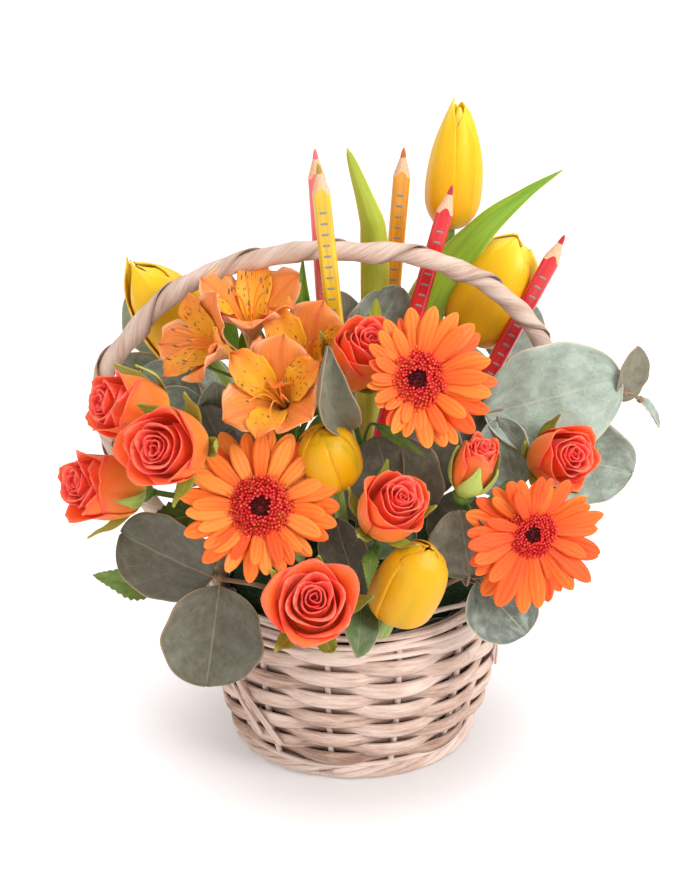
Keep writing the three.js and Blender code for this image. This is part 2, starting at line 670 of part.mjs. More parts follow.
function makePencils() {
  for (const [name, { tip, foot, colour }] of Object.entries(PENCILS)) {
    const direction = vec(tip).sub(vec(foot)).normalize();
    const start = beyond(tip, direction.toArray(), -PENCIL.length).toArray();
    const place = standing(start, direction.toArray(), Math.PI / 2);
    add(`pencil_${name}`, pencil(), finish(colour, 0.4), place);
    swollen[`pencil_${name}`] = pencil(GAP).applyMatrix4(place);
    bores.push(swollen[`pencil_${name}`]);
  }
}

// ---------------------------------------------------------------- eucalyptus

function makeEucalyptus() {
  for (const [name, { stem, leaves }] of Object.entries(EUCALYPTUS)) {
    const pieces = [rod(stem, TWIG_RADIUS * 1.3, 5)];
    for (const leaf of leaves) {
      pieces.push(...stalkedLeaf(leaf, stem));
    }
    add(`eucalyptus_${name}`, join(pieces), TWIG_AND_LEAF);
    pierce(stem, TWIG_RADIUS * 1.3, 5);
  }
}

makeBasket();
makeRoses();
makeTulips();
makePencils();
makeGerberas();
makeAlstroemeria();
makeEucalyptus();
makeFilling();

export default arrangement;
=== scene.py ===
import json
import math

import bmesh
import bpy
import numpy as np
from mathutils import Matrix, Quaternion, Vector

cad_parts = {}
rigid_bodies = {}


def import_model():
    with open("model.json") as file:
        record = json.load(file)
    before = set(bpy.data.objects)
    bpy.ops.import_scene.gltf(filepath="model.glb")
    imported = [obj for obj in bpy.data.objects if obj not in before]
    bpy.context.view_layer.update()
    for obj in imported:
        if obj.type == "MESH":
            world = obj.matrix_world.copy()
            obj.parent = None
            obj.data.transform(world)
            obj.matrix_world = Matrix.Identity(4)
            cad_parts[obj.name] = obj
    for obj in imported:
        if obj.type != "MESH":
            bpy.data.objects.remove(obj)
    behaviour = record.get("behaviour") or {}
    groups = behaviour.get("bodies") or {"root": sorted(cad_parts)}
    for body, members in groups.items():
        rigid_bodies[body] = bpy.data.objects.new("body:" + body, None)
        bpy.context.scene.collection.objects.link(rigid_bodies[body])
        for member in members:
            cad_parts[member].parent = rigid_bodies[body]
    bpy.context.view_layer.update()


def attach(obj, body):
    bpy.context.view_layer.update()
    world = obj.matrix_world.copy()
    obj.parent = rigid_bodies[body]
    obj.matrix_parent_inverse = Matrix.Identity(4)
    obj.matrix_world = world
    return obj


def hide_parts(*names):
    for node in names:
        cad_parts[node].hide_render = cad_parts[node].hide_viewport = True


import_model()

# ---------------------------------------------------------------- camera
# A long lens, level with the far side of the handle and looking down on the basket, so that the rim shows as
# a shallow oval and the gerberas face the viewer.

view = bpy.data.cameras.new("camera")
view.sensor_width = 36
view.lens = 94.63
camera = bpy.data.objects.new("camera", view)
camera.location = (-0.0015, -0.9665, 0.5573)
camera.rotation_euler = (math.radians(67), 0, 0)
bpy.context.scene.collection.objects.link(camera)
bpy.context.scene.camera = camera

# ---------------------------------------------------------------- basket base and stakes
# Split willow, soaked, woven and whitewashed. A plaited disc closes the underside, and thirteen round stakes
# are pushed up round its edge; an odd number lets one weaver alternate from row to row.

MM = 0.001  # sizes are in millimetres here and in metres in the scene
WALL_OUTLINE = [(55.5, 0), (57.5, 8.3), (61.5, 19), (65.2, 34), (67.6, 48), (69, 72), (69.2, 80)]
STAKES = 13
STAKE_TURN = math.radians(-90 + 17.8)
WALL_MIDDLE = 2.1  # from the wall's outside to the middle of the stakes


def wall_radius(z):
    """Radius of the stakes' circle at a height, in mm."""
    radii, heights = zip(*WALL_OUTLINE)
    return np.interp(z, heights, radii) - WALL_MIDDLE


def run_of(line):
    """How far along a line each of its places is."""
    return np.concatenate([[0], np.cumsum(np.linalg.norm(np.diff(line, axis=0), axis=1))])


def unit(vectors):
    """The same directions, each one long."""
    return vectors / np.linalg.norm(vectors, axis=-1, keepdims=True)


def round_at(out, way, high):
    """Places at a distance from the upright axis, in a direction in radians and at a height."""
    return np.stack([out * np.cos(way), out * np.sin(way), high + 0 * way], -1)


MARKS = ("along", "across", "tone", "under")  # what a finish reads at each place, besides the grain


def bit(places, quads, tris=(), finish=0, **marks):
    """One closed bit of a piece: its places in mm, its faces and what its finish reads at each place."""
    count = len(places)
    made = {"places": np.asarray(places, float), "finish": finish}
    made["quads"] = np.asarray(quads, int).reshape(-1, 4)
    made["tris"] = np.asarray(tris, int).reshape(-1, 3)
    for name in MARKS:
        made[name] = np.broadcast_to(np.asarray(marks.get(name, 0.0), float), count)
    made["grain"] = np.asarray(marks.get("grain", places), float)
    return made


def closed_rings(rows, sides):
    """The faces between rings of places, and the fans round the two places that close the ends."""
    i, j = np.meshgrid(np.arange(rows - 1), np.arange(sides), indexing="ij")
    k = (j + 1) % sides
    low, high = i * sides, (i + 1) * sides
    quads = np.stack([low + j, low + k, high + k, high + j], -1).reshape(-1, 4)
    j, k, foot = j[0], k[0], rows * sides
    tris = np.vstack([np.stack([np.full(sides, foot), k, j], 1),
                      np.stack([np.full(sides, foot + 1), foot - sides + j, foot - sides + k], 1)])
    return quads, tris


GRAIN_STRETCH = 0.06  # how much slower the grain changes along a rod or a strip than across it


def tube(line, radius, sides=8, finish=0, tone=0.0):
    """A round rod along a line of places. radius is one number or one for each place."""
    line = np.asarray(line, float)
    count = len(line)
    radius = np.broadcast_to(np.asarray(radius, float), count)
    tangent = unit(np.gradient(line, axis=0))
    side = np.cross(tangent[0], [0.31, 0.52, 0.79])
    first = []
    for forth in tangent:
        side = unit(side - forth * side.dot(forth))
        first.append(side)
    first = np.array(first)
    second = np.cross(tangent, first)
    angle = np.arange(sides) * 2 * math.pi / sides
    ring = first[:, None] * np.cos(angle)[:, None] + second[:, None] * np.sin(angle)[:, None]
    places = (line[:, None] + ring * radius[:, None, None]).reshape(-1, 3)
    run = run_of(line)
    drawn_out = run * GRAIN_STRETCH
    grain = round_at(radius.mean(), np.tile(angle, count), np.repeat(drawn_out, sides))
    grain = np.vstack([grain, [0, 0, 0], [0, 0, drawn_out[-1]]]) + tone * 37
    along = np.concatenate([np.repeat(run / run[-1], sides), [0, 1]])
    return bit(np.vstack([places, line[0], line[-1]]), *closed_rings(count, sides), finish, along=along,
               tone=tone, grain=grain)


def meshed(name, bits):
    """Joins the bits into one mesh in metres."""
    offsets = np.cumsum([0] + [len(b["places"]) for b in bits[:-1]])
    places = np.vstack([b["places"] for b in bits]) * MM
    quads = np.vstack([b["quads"] + o for b, o in zip(bits, offsets)])
    tris = np.vstack([b["tris"] + o for b, o in zip(bits, offsets)])
    mesh = bpy.data.meshes.new(name)
    mesh.vertices.add(len(places))
    mesh.vertices.foreach_set("co", places.ravel())
    corners = np.concatenate([quads.ravel(), tris.ravel()])
    mesh.loops.add(len(corners))
    mesh.loops.foreach_set("vertex_index", corners)
    mesh.polygons.add(len(quads) + len(tris))
    starts = np.concatenate([np.arange(len(quads)) * 4, len(quads) * 4 + np.arange(len(tris)) * 3])
    mesh.polygons.foreach_set("loop_start", starts)
    chosen = np.concatenate([np.full(len(b[kind]), b["finish"]) for kind in ("quads", "tris") for b in bits])
    mesh.update(calc_edges=True)
    mesh.polygons.foreach_set("material_index", chosen.astype(int))
    for name in MARKS:
        layer = mesh.attributes.new(name, "FLOAT", "POINT")
        layer.data.foreach_set("value", np.concatenate([b[name] for b in bits]).astype(np.float32))
    layer = mesh.attributes.new("grain", "FLOAT_VECTOR", "POINT")
    layer.data.foreach_set("vector", np.vstack([b["grain"] for b in bits]).astype(np.float32).ravel())
    mesh.shade_smooth()
    return mesh


def piece(name, bits, finishes):
    """One piece from its bits, with its finishes in the order of the bits' finish numbers."""
    fit_in(meshed(name, bits), name, finishes, name)


def fit_in(mesh, name, finishes, cad_node):
    """Makes the mesh an object that rides on the basket and stands for its CAD node."""
    numbers = np.zeros(len(mesh.polygons), int)
    mesh.polygons.foreach_get("material_index", numbers)
    mesh.materials.clear()
    for one in finishes:
        mesh.materials.append(one)
    mesh.polygons.foreach_set("material_index", numbers)
    made = bpy.data.objects.new(name, mesh)
    bpy.context.scene.collection.objects.link(made)
    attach(made, "root")
    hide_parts(cad_node)


def new_finish(name, roughness, **settings):
    """A material with its shader, and its values set on the shader's own sockets."""
    made = bpy.data.materials.new(name)
    made.use_nodes = True
    shader = made.node_tree.nodes["Principled BSDF"]
    shader.inputs["Roughness"].default_value = roughness
    for socket, value in settings.items():
        shader.inputs[socket.replace("_", " ")].default_value = value
    return made, made.node_tree, shader


def feed(tree, socket, value):
    """Leads a reading or a node's output to a socket, or sets a plain value on it."""
    if isinstance(value, Reading):
        value = value.source
    if isinstance(value, bpy.types.NodeSocket):
        tree.links.new(value, socket)
    else:
        socket.default_value = value


def node(tree, kind, inputs=(), **settings):
    """Adds a node. inputs maps a socket's name or number to what it is fed."""
    made = tree.nodes.new(kind)
    for key, value in settings.items():
        setattr(made, key, value)
    for key, value in dict(inputs).items():
        feed(tree, made.inputs[key], value)
    return made


class Reading:
    """What a tree reads at each place, so that what is worked out from it is written as a sum."""

    def __init__(self, tree, source):
        self.tree, self.source = tree, source

    def worked(self, operation, second=0.0, third=0.0, **settings):
        return worked_out(self.tree, operation, self, second, third, **settings)

    def __add__(self, other):
        return self.worked("ADD", other)

    def __radd__(self, other):
        return worked_out(self.tree, "ADD", other, self)

    def __sub__(self, other):
        return self.worked("SUBTRACT", other)

    def __rsub__(self, other):
        return worked_out(self.tree, "SUBTRACT", other, self)

    def __mul__(self, other):
        return self.worked("MULTIPLY", other)

    def __truediv__(self, other):
        return self.worked("DIVIDE", other)

    def __rtruediv__(self, other):
        return worked_out(self.tree, "DIVIDE", other, self)

    def __abs__(self):
        return self.worked("ABSOLUTE")


def worked_out(tree, operation, first, second=0.0, third=0.0, **settings):
    """The reading of one math node."""
    made = node(tree, "ShaderNodeMath", {0: first, 1: second, 2: third}, operation=operation, **settings)
    return Reading(tree, made.outputs[0])


def mark(tree, name):
    """What the mesh says at each place: along, across, tone or under."""
    return Reading(tree, node(tree, "ShaderNodeAttribute", attribute_name=name).outputs["Fac"])


def grain_of(tree):
    """Where a place lies in the grain: drawn out along rods and strips, and of its own for each of them."""
    return node(tree, "ShaderNodeAttribute", attribute_name="grain").outputs["Vector"]


def speckle(tree, scale, detail=3.0, roughness=0.55, stretch=None):
    """Noise from 0 to 1 in the grain, at a scale, drawn out by stretch."""
    vector = grain_of(tree)
    if stretch is not None:
        vector = node(tree, "ShaderNodeMapping", {"Vector": vector, "Scale": stretch}).outputs[0]
    made = node(tree, "ShaderNodeTexNoise", {
        "Vector": vector, "Scale": scale, "Detail": detail, "Roughness": roughness})
    return Reading(tree, made.outputs["Fac"])


def shades(tree, value, *stops):
    """A run of colours over a value, as (place, (red, green, blue)) with sRGB numbers up to 255."""
    made = node(tree, "ShaderNodeValToRGB", {"Fac": value})
    run = made.color_ramp
    while len(run.elements) < len(stops):
        run.elements.new(0.5)
    for element, (place, colour) in zip(run.elements, stops):
        element.position = place
        element.color = paint(colour)
    return made.outputs["Color"]


def paint(colour):
    """An sRGB colour up to 255 as the linear colour that a shader takes."""
    share = [c / 255 for c in colour]
    return tuple(s / 12.92 if s <= 0.04045 else ((s + 0.055) / 1.055) ** 2.4 for s in share) + (1.0,)


def blend_of(tree, amount, first, second, kind="MIX"):
    """Goes from the first colour to the second by an amount from 0 to 1."""
    first, second = (paint(c) if isinstance(c, tuple) else c for c in (first, second))
    made = node(tree, "ShaderNodeMix", {0: amount, 6: first, 7: second}, data_type="RGBA", blend_type=kind)
    return made.outputs[2]


def ramp_of(tree, value, low, high, start=0.0, end=1.0):
    """Runs smoothly from start to end as the value goes from low to high."""
    made = node(tree, "ShaderNodeMapRange", {
        "Value": value, "From Min": low, "From Max": high, "To Min": start, "To Max": end},
        interpolation_type="SMOOTHSTEP")
    return Reading(tree, made.outputs[0])


def raised(tree, shader, height, strength, distance):
    """Bump from a height, in metres at full strength."""
    bump = node(tree, "ShaderNodeBump", {"Height": height, "Strength": strength, "Distance": distance})
    tree.links.new(bump.outputs[0], shader.inputs["Normal"])


def willow_finish(name, light, middle, dark, fibre, coarse=0.8, relief=0.00045):
    """Whitewashed split willow: lengthwise grain, rubbed patches, fine fibres and painted shade at strip
    edges.
    """
    made, tree, shader = new_finish(name, 0.72, Specular_IOR_Level=0.28)
    streaks = speckle(tree, coarse, 6, 0.7, (1.0, 1.0, 1.6))
    patches = speckle(tree, 0.13, 2, 0.5, (1.0, 1.0, 4.0))
    # the tone mark brings each strip's own tone and, on the wall, the painted shade low down
    wash_and_shade = streaks * 0.7 + patches * 0.38 + mark(tree, "tone") * 0.16
    colour = shades(tree, wash_and_shade, (0.36, dark), (0.52, middle), (0.70, light))
    fibres = speckle(tree, 5.5, 2, 0.6, (1.0, 1.0, 0.6))
    colour = blend_of(tree, ramp_of(tree, fibres, 0.62, 0.8, 0, 0.55), colour, fibre)
    # painted shade: darker along the edges of a strip, where it meets the next row or a stake
    edge = ramp_of(tree, abs(mark(tree, "across")), 0.78, 1.0, 0.0, 0.5)
    tree.links.new(blend_of(tree, edge, colour, dark), shader.inputs["Base Color"])
    raised(tree, shader, streaks + fibres, 0.6, relief)
    return made


willow = willow_finish("whitewashed_willow", (228, 205, 192), (199, 169, 153), (146, 112, 94),
                       (238, 222, 212))


def plan_rod(radius_of, height_of, thickness, start=0.0, end=360.0, steps=150, sides=7, tone=0.3, taper=True):
    """A rod bent round the basket. Its radius and height are functions of the angle in degrees."""
    turn = np.linspace(start, end, steps)
    line = round_at(radius_of(turn), np.radians(turn), height_of(turn))
    size = np.full(steps, thickness / 2)
    if taper:
        size = size * np.clip(np.minimum(turn - start, end - turn) / 6 + 0.55, 0, 1)
    return tube(line, size, sides, tone=tone)


# The underside is woven over crossed sticks, one round after another.
BASE_ROUNDS, BASE_STICKS = 12, 8
BASE_REACH = 50.5
bits = []
for row in range(BASE_ROUNDS):
    lift = 1 if row % 2 else -1
    bits.append(plan_rod(
        lambda turn, row=row: np.full_like(turn, 5.5 + 3.9 * row),
        lambda turn, lift=lift: 2.1 + 0.45 * lift * np.cos(np.radians(turn * BASE_STICKS)),
        3.1, steps=110, sides=6, tone=0.2 + 0.05 * row, taper=False))
for stick in range(BASE_STICKS):
    reach = np.linspace(-BASE_REACH, BASE_REACH, 40)
    way = math.radians(stick * 180 / BASE_STICKS)
    bits.append(tube(round_at(reach, way, 2.4 + 0 * reach), 1.25, 6, tone=0.4))
piece("basket_base", bits, [willow])


def node_tree(name, **inputs):
    """An empty tree of geometry nodes, the readings of its named inputs, and the values that its modifier is
    given for them."""
    tree = bpy.data.node_groups.new(name, "GeometryNodeTree")
    tree.interface.new_socket("Geometry", in_out="OUTPUT", socket_type="NodeSocketGeometry")
    values = {}
    for title, (kind, value) in inputs.items():
        socket = tree.interface.new_socket(title.replace("_", " "), in_out="INPUT",
                                           socket_type="NodeSocket" + kind)
        values[socket.identifier] = value
    start = tree.nodes.new("NodeGroupInput")
    return tree, {socket.name: Reading(tree, socket) for socket in start.outputs}, values


def index_of(tree):
    """The number of each point or copy, from 0."""
    return Reading(tree, node(tree, "GeometryNodeInputIndex").outputs[0])


def spot_of(tree, **axes):
    """A place, or a turn in radians, from readings for X, Y and Z."""
    return node(tree, "ShaderNodeCombineXYZ", axes).outputs[0]


def grown(name, tree, values):
    """Runs the tree on an empty object and gives the plain mesh that it grows."""
    carrier = bpy.data.objects.new(name + "_carrier", bpy.data.meshes.new(name + "_carrier"))
    bpy.context.scene.collection.objects.link(carrier)
    modifier = carrier.modifiers.new("grow", "NODES")
    modifier.node_group = tree
    for identifier, value in values.items():
        modifier[identifier] = value
    shown = carrier.evaluated_get(bpy.context.evaluated_depsgraph_get())
    mesh = bpy.data.meshes.new_from_object(shown)
    mesh.name = name
    carrier.modifiers.remove(modifier)
    bpy.data.objects.remove(carrier)
    return mesh


def object_in(tree, pattern):
    return node(tree, "GeometryNodeObjectInfo", {"Object": pattern, "As Instance": True}).outputs["Geometry"]


def copied(tree, points, pattern, **pick):
    """Copies of a pattern on points."""
    made = node(tree, "GeometryNodeInstanceOnPoints", {"Points": points, "Instance": pattern, **pick})
    return made.outputs[0]


def end_with(tree, geometry, finish):
    """Closes a tree with its realized geometry in its finish."""
    real = node(tree, "GeometryNodeRealizeInstances", {"Geometry": geometry})
    done = node(tree, "GeometryNodeSetMaterial", {"Geometry": real.outputs[0], "Material": finish})
    node(tree, "NodeGroupOutput", {0: done.outputs[0]})


def pattern_object(name, bits):
    """An object that only serves as the pattern for copies."""
    made = bpy.data.objects.new(name, meshed(name, bits))
    bpy.context.scene.collection.objects.link(made)
    return made


def clear_away(*patterns):
    """Takes patterns out once their copies are plain meshes."""
    for pattern in patterns:
        if isinstance(pattern, bpy.types.Collection):
            for one in list(pattern.objects):
                bpy.data.objects.remove(one)
            bpy.data.collections.remove(pattern)
        else:
            bpy.data.objects.remove(pattern)


# One bent stake is set out thirteen times round the wall.
heights = np.linspace(3, 76, 22)
stake = tube(np.stack([wall_radius(heights), 0 * heights, heights], 1), 1.45, 8, tone=0.55)
stake_pattern = pattern_object("stake_pattern", [stake])
tree, given, values = node_tree(
    "stakes", Stake=("Object", stake_pattern), Stakes=("Int", STAKES), Turn=("Float", STAKE_TURN),
    Finish=("Material", willow))
points = node(tree, "GeometryNodePoints", {"Count": given["Stakes"]}).outputs[0]
angle = index_of(tree) * (2 * math.pi / given["Stakes"]) + given["Turn"]
stakes = copied(tree, points, object_in(tree, given["Stake"]), Rotation=spot_of(tree, Z=angle))
end_with(tree, stakes, given["Finish"])
fit_in(grown("basket_stakes", tree, values), "basket_stakes", [willow], "basket_wall")
clear_away(stake_pattern)

# ---------------------------------------------------------------- basket wall, foot and rim
# One flat split strip after another runs in a rising line in front of and behind the stakes. Thin round rods
# are twisted together into a heavy border at the foot and a lighter one at the rim.

ROW_PITCH = 5.65
STRIP_WIDTH = 7.7
FIRST_ROW, LAST_ROW = 7.5, 70.5
SWING = 2.5  # how far a strip stands in front of or behind the stakes


def smooth_line(points, steps=8):
    """A smooth line through the points, as a list of places."""
    points = np.asarray(points, float)
    knots = np.vstack([2 * points[0] - points[1], points, 2 * points[-1] - points[-2]])
    line = []
    for a, b, c, d in zip(knots, knots[1:], knots[2:], knots[3:]):
        for t in np.linspace(0, 1, steps, endpoint=False):
            line.append(0.5 * (2 * b + (c - a) * t + (2 * a - 5 * b + 4 * c - d) * t**2
                               + (3 * b - a - 3 * c + d) * t**3))
    line.append(points[-1])
    return np.array(line)


def plait(grid, thickness, finish=0, tone=0.0, edge=0.35):
    """A thin closed sheet laid over a grid of places, thinner at its edges, such as a willow strip or a
    petal."""
    grid = np.asarray(grid, float)
    rows, columns = grid.shape[:2]
    normal = np.cross(np.gradient(grid, axis=0), np.gradient(grid, axis=1))
    normal /= np.maximum(np.linalg.norm(normal, axis=2, keepdims=True), 1e-9)
    across = np.linspace(-1, 1, columns)[None, :] * np.ones((rows, 1))
    along = np.linspace(0, 1, rows)[:, None] * np.ones((1, columns))
    half = normal * thickness * (edge + (1 - edge) * (1 - np.abs(across) ** 4))[:, :, None] / 2
    places = np.vstack([(grid + half).reshape(-1, 3), (grid - half).reshape(-1, 3)])
    at = np.arange(rows * columns).reshape(rows, columns)
    a, b, c, d = at[:-1, :-1], at[1:, :-1], at[1:, 1:], at[:-1, 1:]
    top = np.stack([a, b, c, d], -1).reshape(-1, 4)
    quads = [top, top[:, ::-1] + rows * columns]
    for first, second in ((at[0, :-1], at[0, 1:]), (at[-1, 1:], at[-1, :-1]), (at[1:, 0], at[:-1, 0]),
                          (at[:-1, -1], at[1:, -1])):  # the four narrow sides
        quads.append(np.stack([first, second, second + rows * columns, first + rows * columns], -1))
    width = np.linalg.norm(grid[rows // 2, -1] - grid[rows // 2, 0])
    drawn_out = run_of(grid[:, columns // 2])[:, None] * GRAIN_STRETCH
    grain = np.stack([across * width / 2, np.full(across.shape, tone * 53), drawn_out + across * 0], -1)
    under = np.repeat([0.0, 1.0], rows * columns)
    return bit(places, np.vstack(quads), (), finish, along=np.tile(along.ravel(), 2), tone=tone, under=under,
               across=np.tile(across.ravel(), 2), grain=np.tile(grain.reshape(-1, 3), (2, 1)))


def weaver(start, end, tone, seed):
    """A stretch of the wall's strip, from one turn in degrees to another, counted from the first stake."""
    turn = np.radians(np.arange(start, end + 0.1, 2.6))
    rise = FIRST_ROW + ROW_PITCH * turn / (2 * math.pi)
    random = np.random.default_rng(seed)
    rise = rise + 1.3 * np.sin(turn * 3 - 2.37) + 0.25 * np.sin(turn * 2.3 + random.uniform(0, 6))
    swing = np.cos(turn * STAKES / 2)
    out = np.sign(swing) * np.abs(swing) ** 0.8 * SWING
    width = STRIP_WIDTH * (1.04 - 0.16 * (1 - np.abs(swing)))  # narrower where it slips between two stakes
    rows = []
    for s in np.linspace(1, -1, 9):
        high = rise + s * width / 2
        bow = 1.35 * (1 - s * s)
        rows.append(round_at(wall_radius(high) + out + bow - 0.4, turn + STAKE_TURN, high))
    return plait(np.stack(rows, 1), 1.3, tone=tone, edge=0.55)


STRIP_RUNS = [330, 410, 290, 500, 380, 450, 340, 420, 395, 480]  # degrees that one strip goes round
STRIP_LAP = 14
STRIP_TONES = [0.1, 0.75, 0.4, 0.95, 0.25, 0.6]
bits = []
turn, strip = 150.0, 0
wall_end = (LAST_ROW - FIRST_ROW) / ROW_PITCH * 360
while turn < wall_end:
    run = STRIP_RUNS[strip % len(STRIP_RUNS)]
    tone_and_shade = STRIP_TONES[strip % len(STRIP_TONES)] - 0.9 * (1 - turn / wall_end)  # painted shade: darker low down
    bits.append(weaver(turn, min(turn + run + STRIP_LAP, wall_end), tone_and_shade, strip))
    turn += run
    strip += 1


def loose_strip(corners, width, tone):
    """A strip's free end that stands off the wall, through the corners given as angle, height and
    stand-off."""
    places = [round_at(wall_radius(high) + off, math.radians(turn), high) for turn, high, off in corners]
    line = smooth_line(places, 6)
    side = unit(np.cross(unit(line * [1, 1, 0]), np.gradient(line, axis=0)))
    grid = line[:, None] + side[:, None] * np.linspace(1, -1, 6)[:, None] * width / 2
    return plait(grid, 1.0, tone=tone, edge=0.5)


bits.append(loose_strip([(-22, 60, 4.5), (-20, 52, 5.2), (-19, 43, 5.4)], 2.6, 0.5))
bits.append(loose_strip([(-143, 56, 5.0), (-136, 44, 5.6), (-127, 30, 5.6), (-121, 18, 5.2)], 3.4, 0.35))
bits.append(loose_strip([(-148, 50, 4.8), (-139, 38, 5.4), (-133, 27, 5.4), (-131, 20, 4.6)], 2.8, 0.6))
piece("basket_wall", bits, [willow])

# The foot: two pairs of rods that cross each other as they go round.
bits = []
FOOT_RODS = 4
for rod in range(FOOT_RODS):
    phase = rod * 360 / FOOT_RODS
    bits.append(plan_rod(
        lambda turn, phase=phase: 55.2 + 1.6 * np.cos(np.radians(turn * 6.5 + phase)),
        lambda turn, phase=phase: (
            4.7 + 2.3 * np.sin(np.radians(turn * 6.5 + phase)) + 0.3 * np.sin(np.radians(turn * 3))),
        3.3, start=-109 + rod * 3, end=251 + rod * 3, steps=210, sides=8, tone=0.15 + 0.25 * rod))
bits.append(plan_rod(lambda turn: 56.4 + 0.02 * turn, lambda turn: 1.75 + 0 * turn,
                     3.0, -112, -40, 60, 8, 0.3))
bits.append(plan_rod(lambda turn: 56.6 + 0.3 * np.sin(turn * 0.1),
                     lambda turn: 8.2 + 0.5 * np.sin(turn * 0.07), 2.6, -150, 60, 120, 7, 0.8))
bits.append(plan_rod(lambda turn: 55.8 + 0.3 * np.sin(turn * 0.13),
                     lambda turn: 8.0 + 0.5 * np.sin(turn * 0.09), 2.6, 50, 215, 100, 7, 0.5))
piece("basket_foot", bits, [willow])

# The rim: thin rods that climb and cross one another, each dipping behind the next, and two that run free
# inside.
bits = []
RIM_RODS = 6
RIM_RUN = 372  # degrees that each rod goes round, so that its ends lie side by side
for rod in range(RIM_RODS):
    start = rod * 360 / RIM_RODS - 100
    bits.append(plan_rod(
        lambda turn, rod=rod: 68.9 + 1.3 * np.cos(np.radians(turn * 2.5 + rod * 144)) - 0.45 * rod,
        lambda turn, rod=rod, start=start: (
            69.6 + 2.05 * rod + 0.6 * np.sin(np.radians(turn * 3.5 + rod * 137))
            + 2.4 * ((turn - start) / RIM_RUN - 0.5)),
        2.45, start=start, end=start + RIM_RUN, steps=230, sides=8, tone=1.5 - 0.2 * rod))
bits.append(plan_rod(lambda turn: 64.4 + 1.2 * np.sin(np.radians(turn * 2 + 40)),
                     lambda turn: 80.6 + 4.2 * np.exp(-((turn + 64) / 24) ** 4), 2.3, -250, 60, 200, 7, 0.9))
bits.append(plan_rod(lambda turn: 63.2 - 1.0 * np.cos(np.radians(turn * 1.5 + 60)),
                     lambda turn: 77.2 + 0.7 * np.cos(np.radians(turn * 2)), 2.0, -200, 120, 190, 7, 0.6))
piece("basket_rim", bits, [willow])

# ---------------------------------------------------------------- handle
# A hoop rod pushed down inside the weave on both sides and wrapped with one flat strip that overlaps itself
# at each turn, so that its edges show as slanting creases.

ARCH = [(-64.5, 60), (-63.5, 72), (-64, 84), (-71, 91), (-86, 104), (-104, 130), (-114, 158), (-111, 180),
        (-97, 200), (-75, 220), (-48, 231.5), (-18, 236.5), (18, 235.5), (42, 230), (61, 220), (76, 206),
        (87, 189), (93, 168), (93, 145), (87, 121), (76, 102), (68, 91), (64, 84), (63.5, 72), (64.5, 60)]
WRAP_LAP = 1.16


def read_at(place, run, values):
    """Reads what is given along a run, column by column, at other places of it."""
    return np.stack([np.interp(place, run, column) for column in values.T], -1)


def wrap_strip(line, core, first_pitch, last_pitch):
    """A flat strip wound round a line of places: each turn lies over the one before it."""
    run = run_of(line)
    mean_pitch = (first_pitch + last_pitch) / 2
    turns = run[-1] / mean_pitch
    angle = np.linspace(0, turns * 2 * math.pi, int(turns * 30))
    share = angle / angle[-1]
    pitch = first_pitch + (last_pitch - first_pitch) * share
    middle = run[-1] * share * (first_pitch + pitch) / 2 / mean_pitch
    phase = np.random.default_rng(5).uniform(0, 6, 4)
    forth = np.gradient(line, axis=0)
    depth = np.array([0.0, 1.0, 0.0])
    columns = []
    for s in np.linspace(0.5, -0.5, 13):
        place = np.clip(middle + s * pitch * WRAP_LAP, 0, run[-1])
        centre = read_at(place, run, line)
        up = np.cross(depth, unit(read_at(place, run, forth)))
        size = core * (1.13 - 0.26 * place / run[-1])
        lift = 0.1 + 1.5 * (s + 0.5) ** 1.6 + 0.3 * math.sin(s * 17)
        ripple = 0.4 * np.sin(angle * 1.7 + phase[0] + s * 5)
        ripple = ripple + 0.35 * np.sin(angle * 0.63 + phase[1] + s * 11)
        reach = (size + lift + ripple * (0.4 + abs(s)))[:, None]
        columns.append(centre + (up * np.cos(angle)[:, None] - depth * np.sin(angle)[:, None]) * reach)
    return plait(np.stack(columns, 1), 0.55, tone=0.5, edge=0.7)


handle_wrap = willow_finish("handle_strip", (236, 210, 194), (206, 174, 154), (142, 104, 82), (246, 232, 220),
                            coarse=0.6, relief=0.0012)
hoop = smooth_line([(x, 0, z) for x, z in ARCH], 8)
above = hoop[hoop[:, 2] > 66]
bits = [wrap_strip(above, 3.4, 46, 27), tube(hoop, 3.1, 10, tone=0.2)]
for side in (-1, 1):
    heights = np.linspace(28, 62, 8)
    inside = wall_radius(heights) - 5.2
    bits.append(tube(np.stack([side * inside, 0 * heights, heights], 1), 2.9, 9, tone=0.2))
piece("basket_handle", bits, [handle_wrap])

# ---------------------------------------------------------------- floral foam and liner
# A wet block of fine open foam, domed so that stems can stand out sideways, set in a thin crumpled film that
# keeps the willow dry.

foam_stuff, tree, shader = new_finish("wet_foam", 0.95, Specular_IOR_Level=0.1)
cells = node(tree, "ShaderNodeTexVoronoi", {"Vector": grain_of(tree), "Scale": 1.1})
pores = Reading(tree, cells.outputs["Distance"])
wet = pores * 0.5 + speckle(tree, 0.09, 3) * 0.6
tree.links.new(shades(tree, wet, (0.2, (16, 28, 17)), (0.55, (34, 52, 30)), (0.85, (58, 78, 44))),
               shader.inputs["Base Color"])
raised(tree, shader, pores, 0.9, 0.0008)


def skin(rings, tone=0.0):
    """A closed round body over rings of places, from the bottom one to the top one."""
    rings = np.asarray(rings, float)
    rows, sides = rings.shape[:2]
    places = np.vstack([rings.reshape(-1, 3), rings[0].mean(0), rings[-1].mean(0)])
    along = np.concatenate([np.repeat(np.linspace(0, 1, rows), sides), [0, 1]])
    return bit(places, *closed_rings(rows, sides), along=along, tone=tone)


def turned(outline, sides):
    """Rings turned round the upright axis from an outline of radius and height."""
    out, high = np.asarray(outline, float).T[..., None]
    return round_at(out, np.arange(sides) * 2 * math.pi / sides, high)


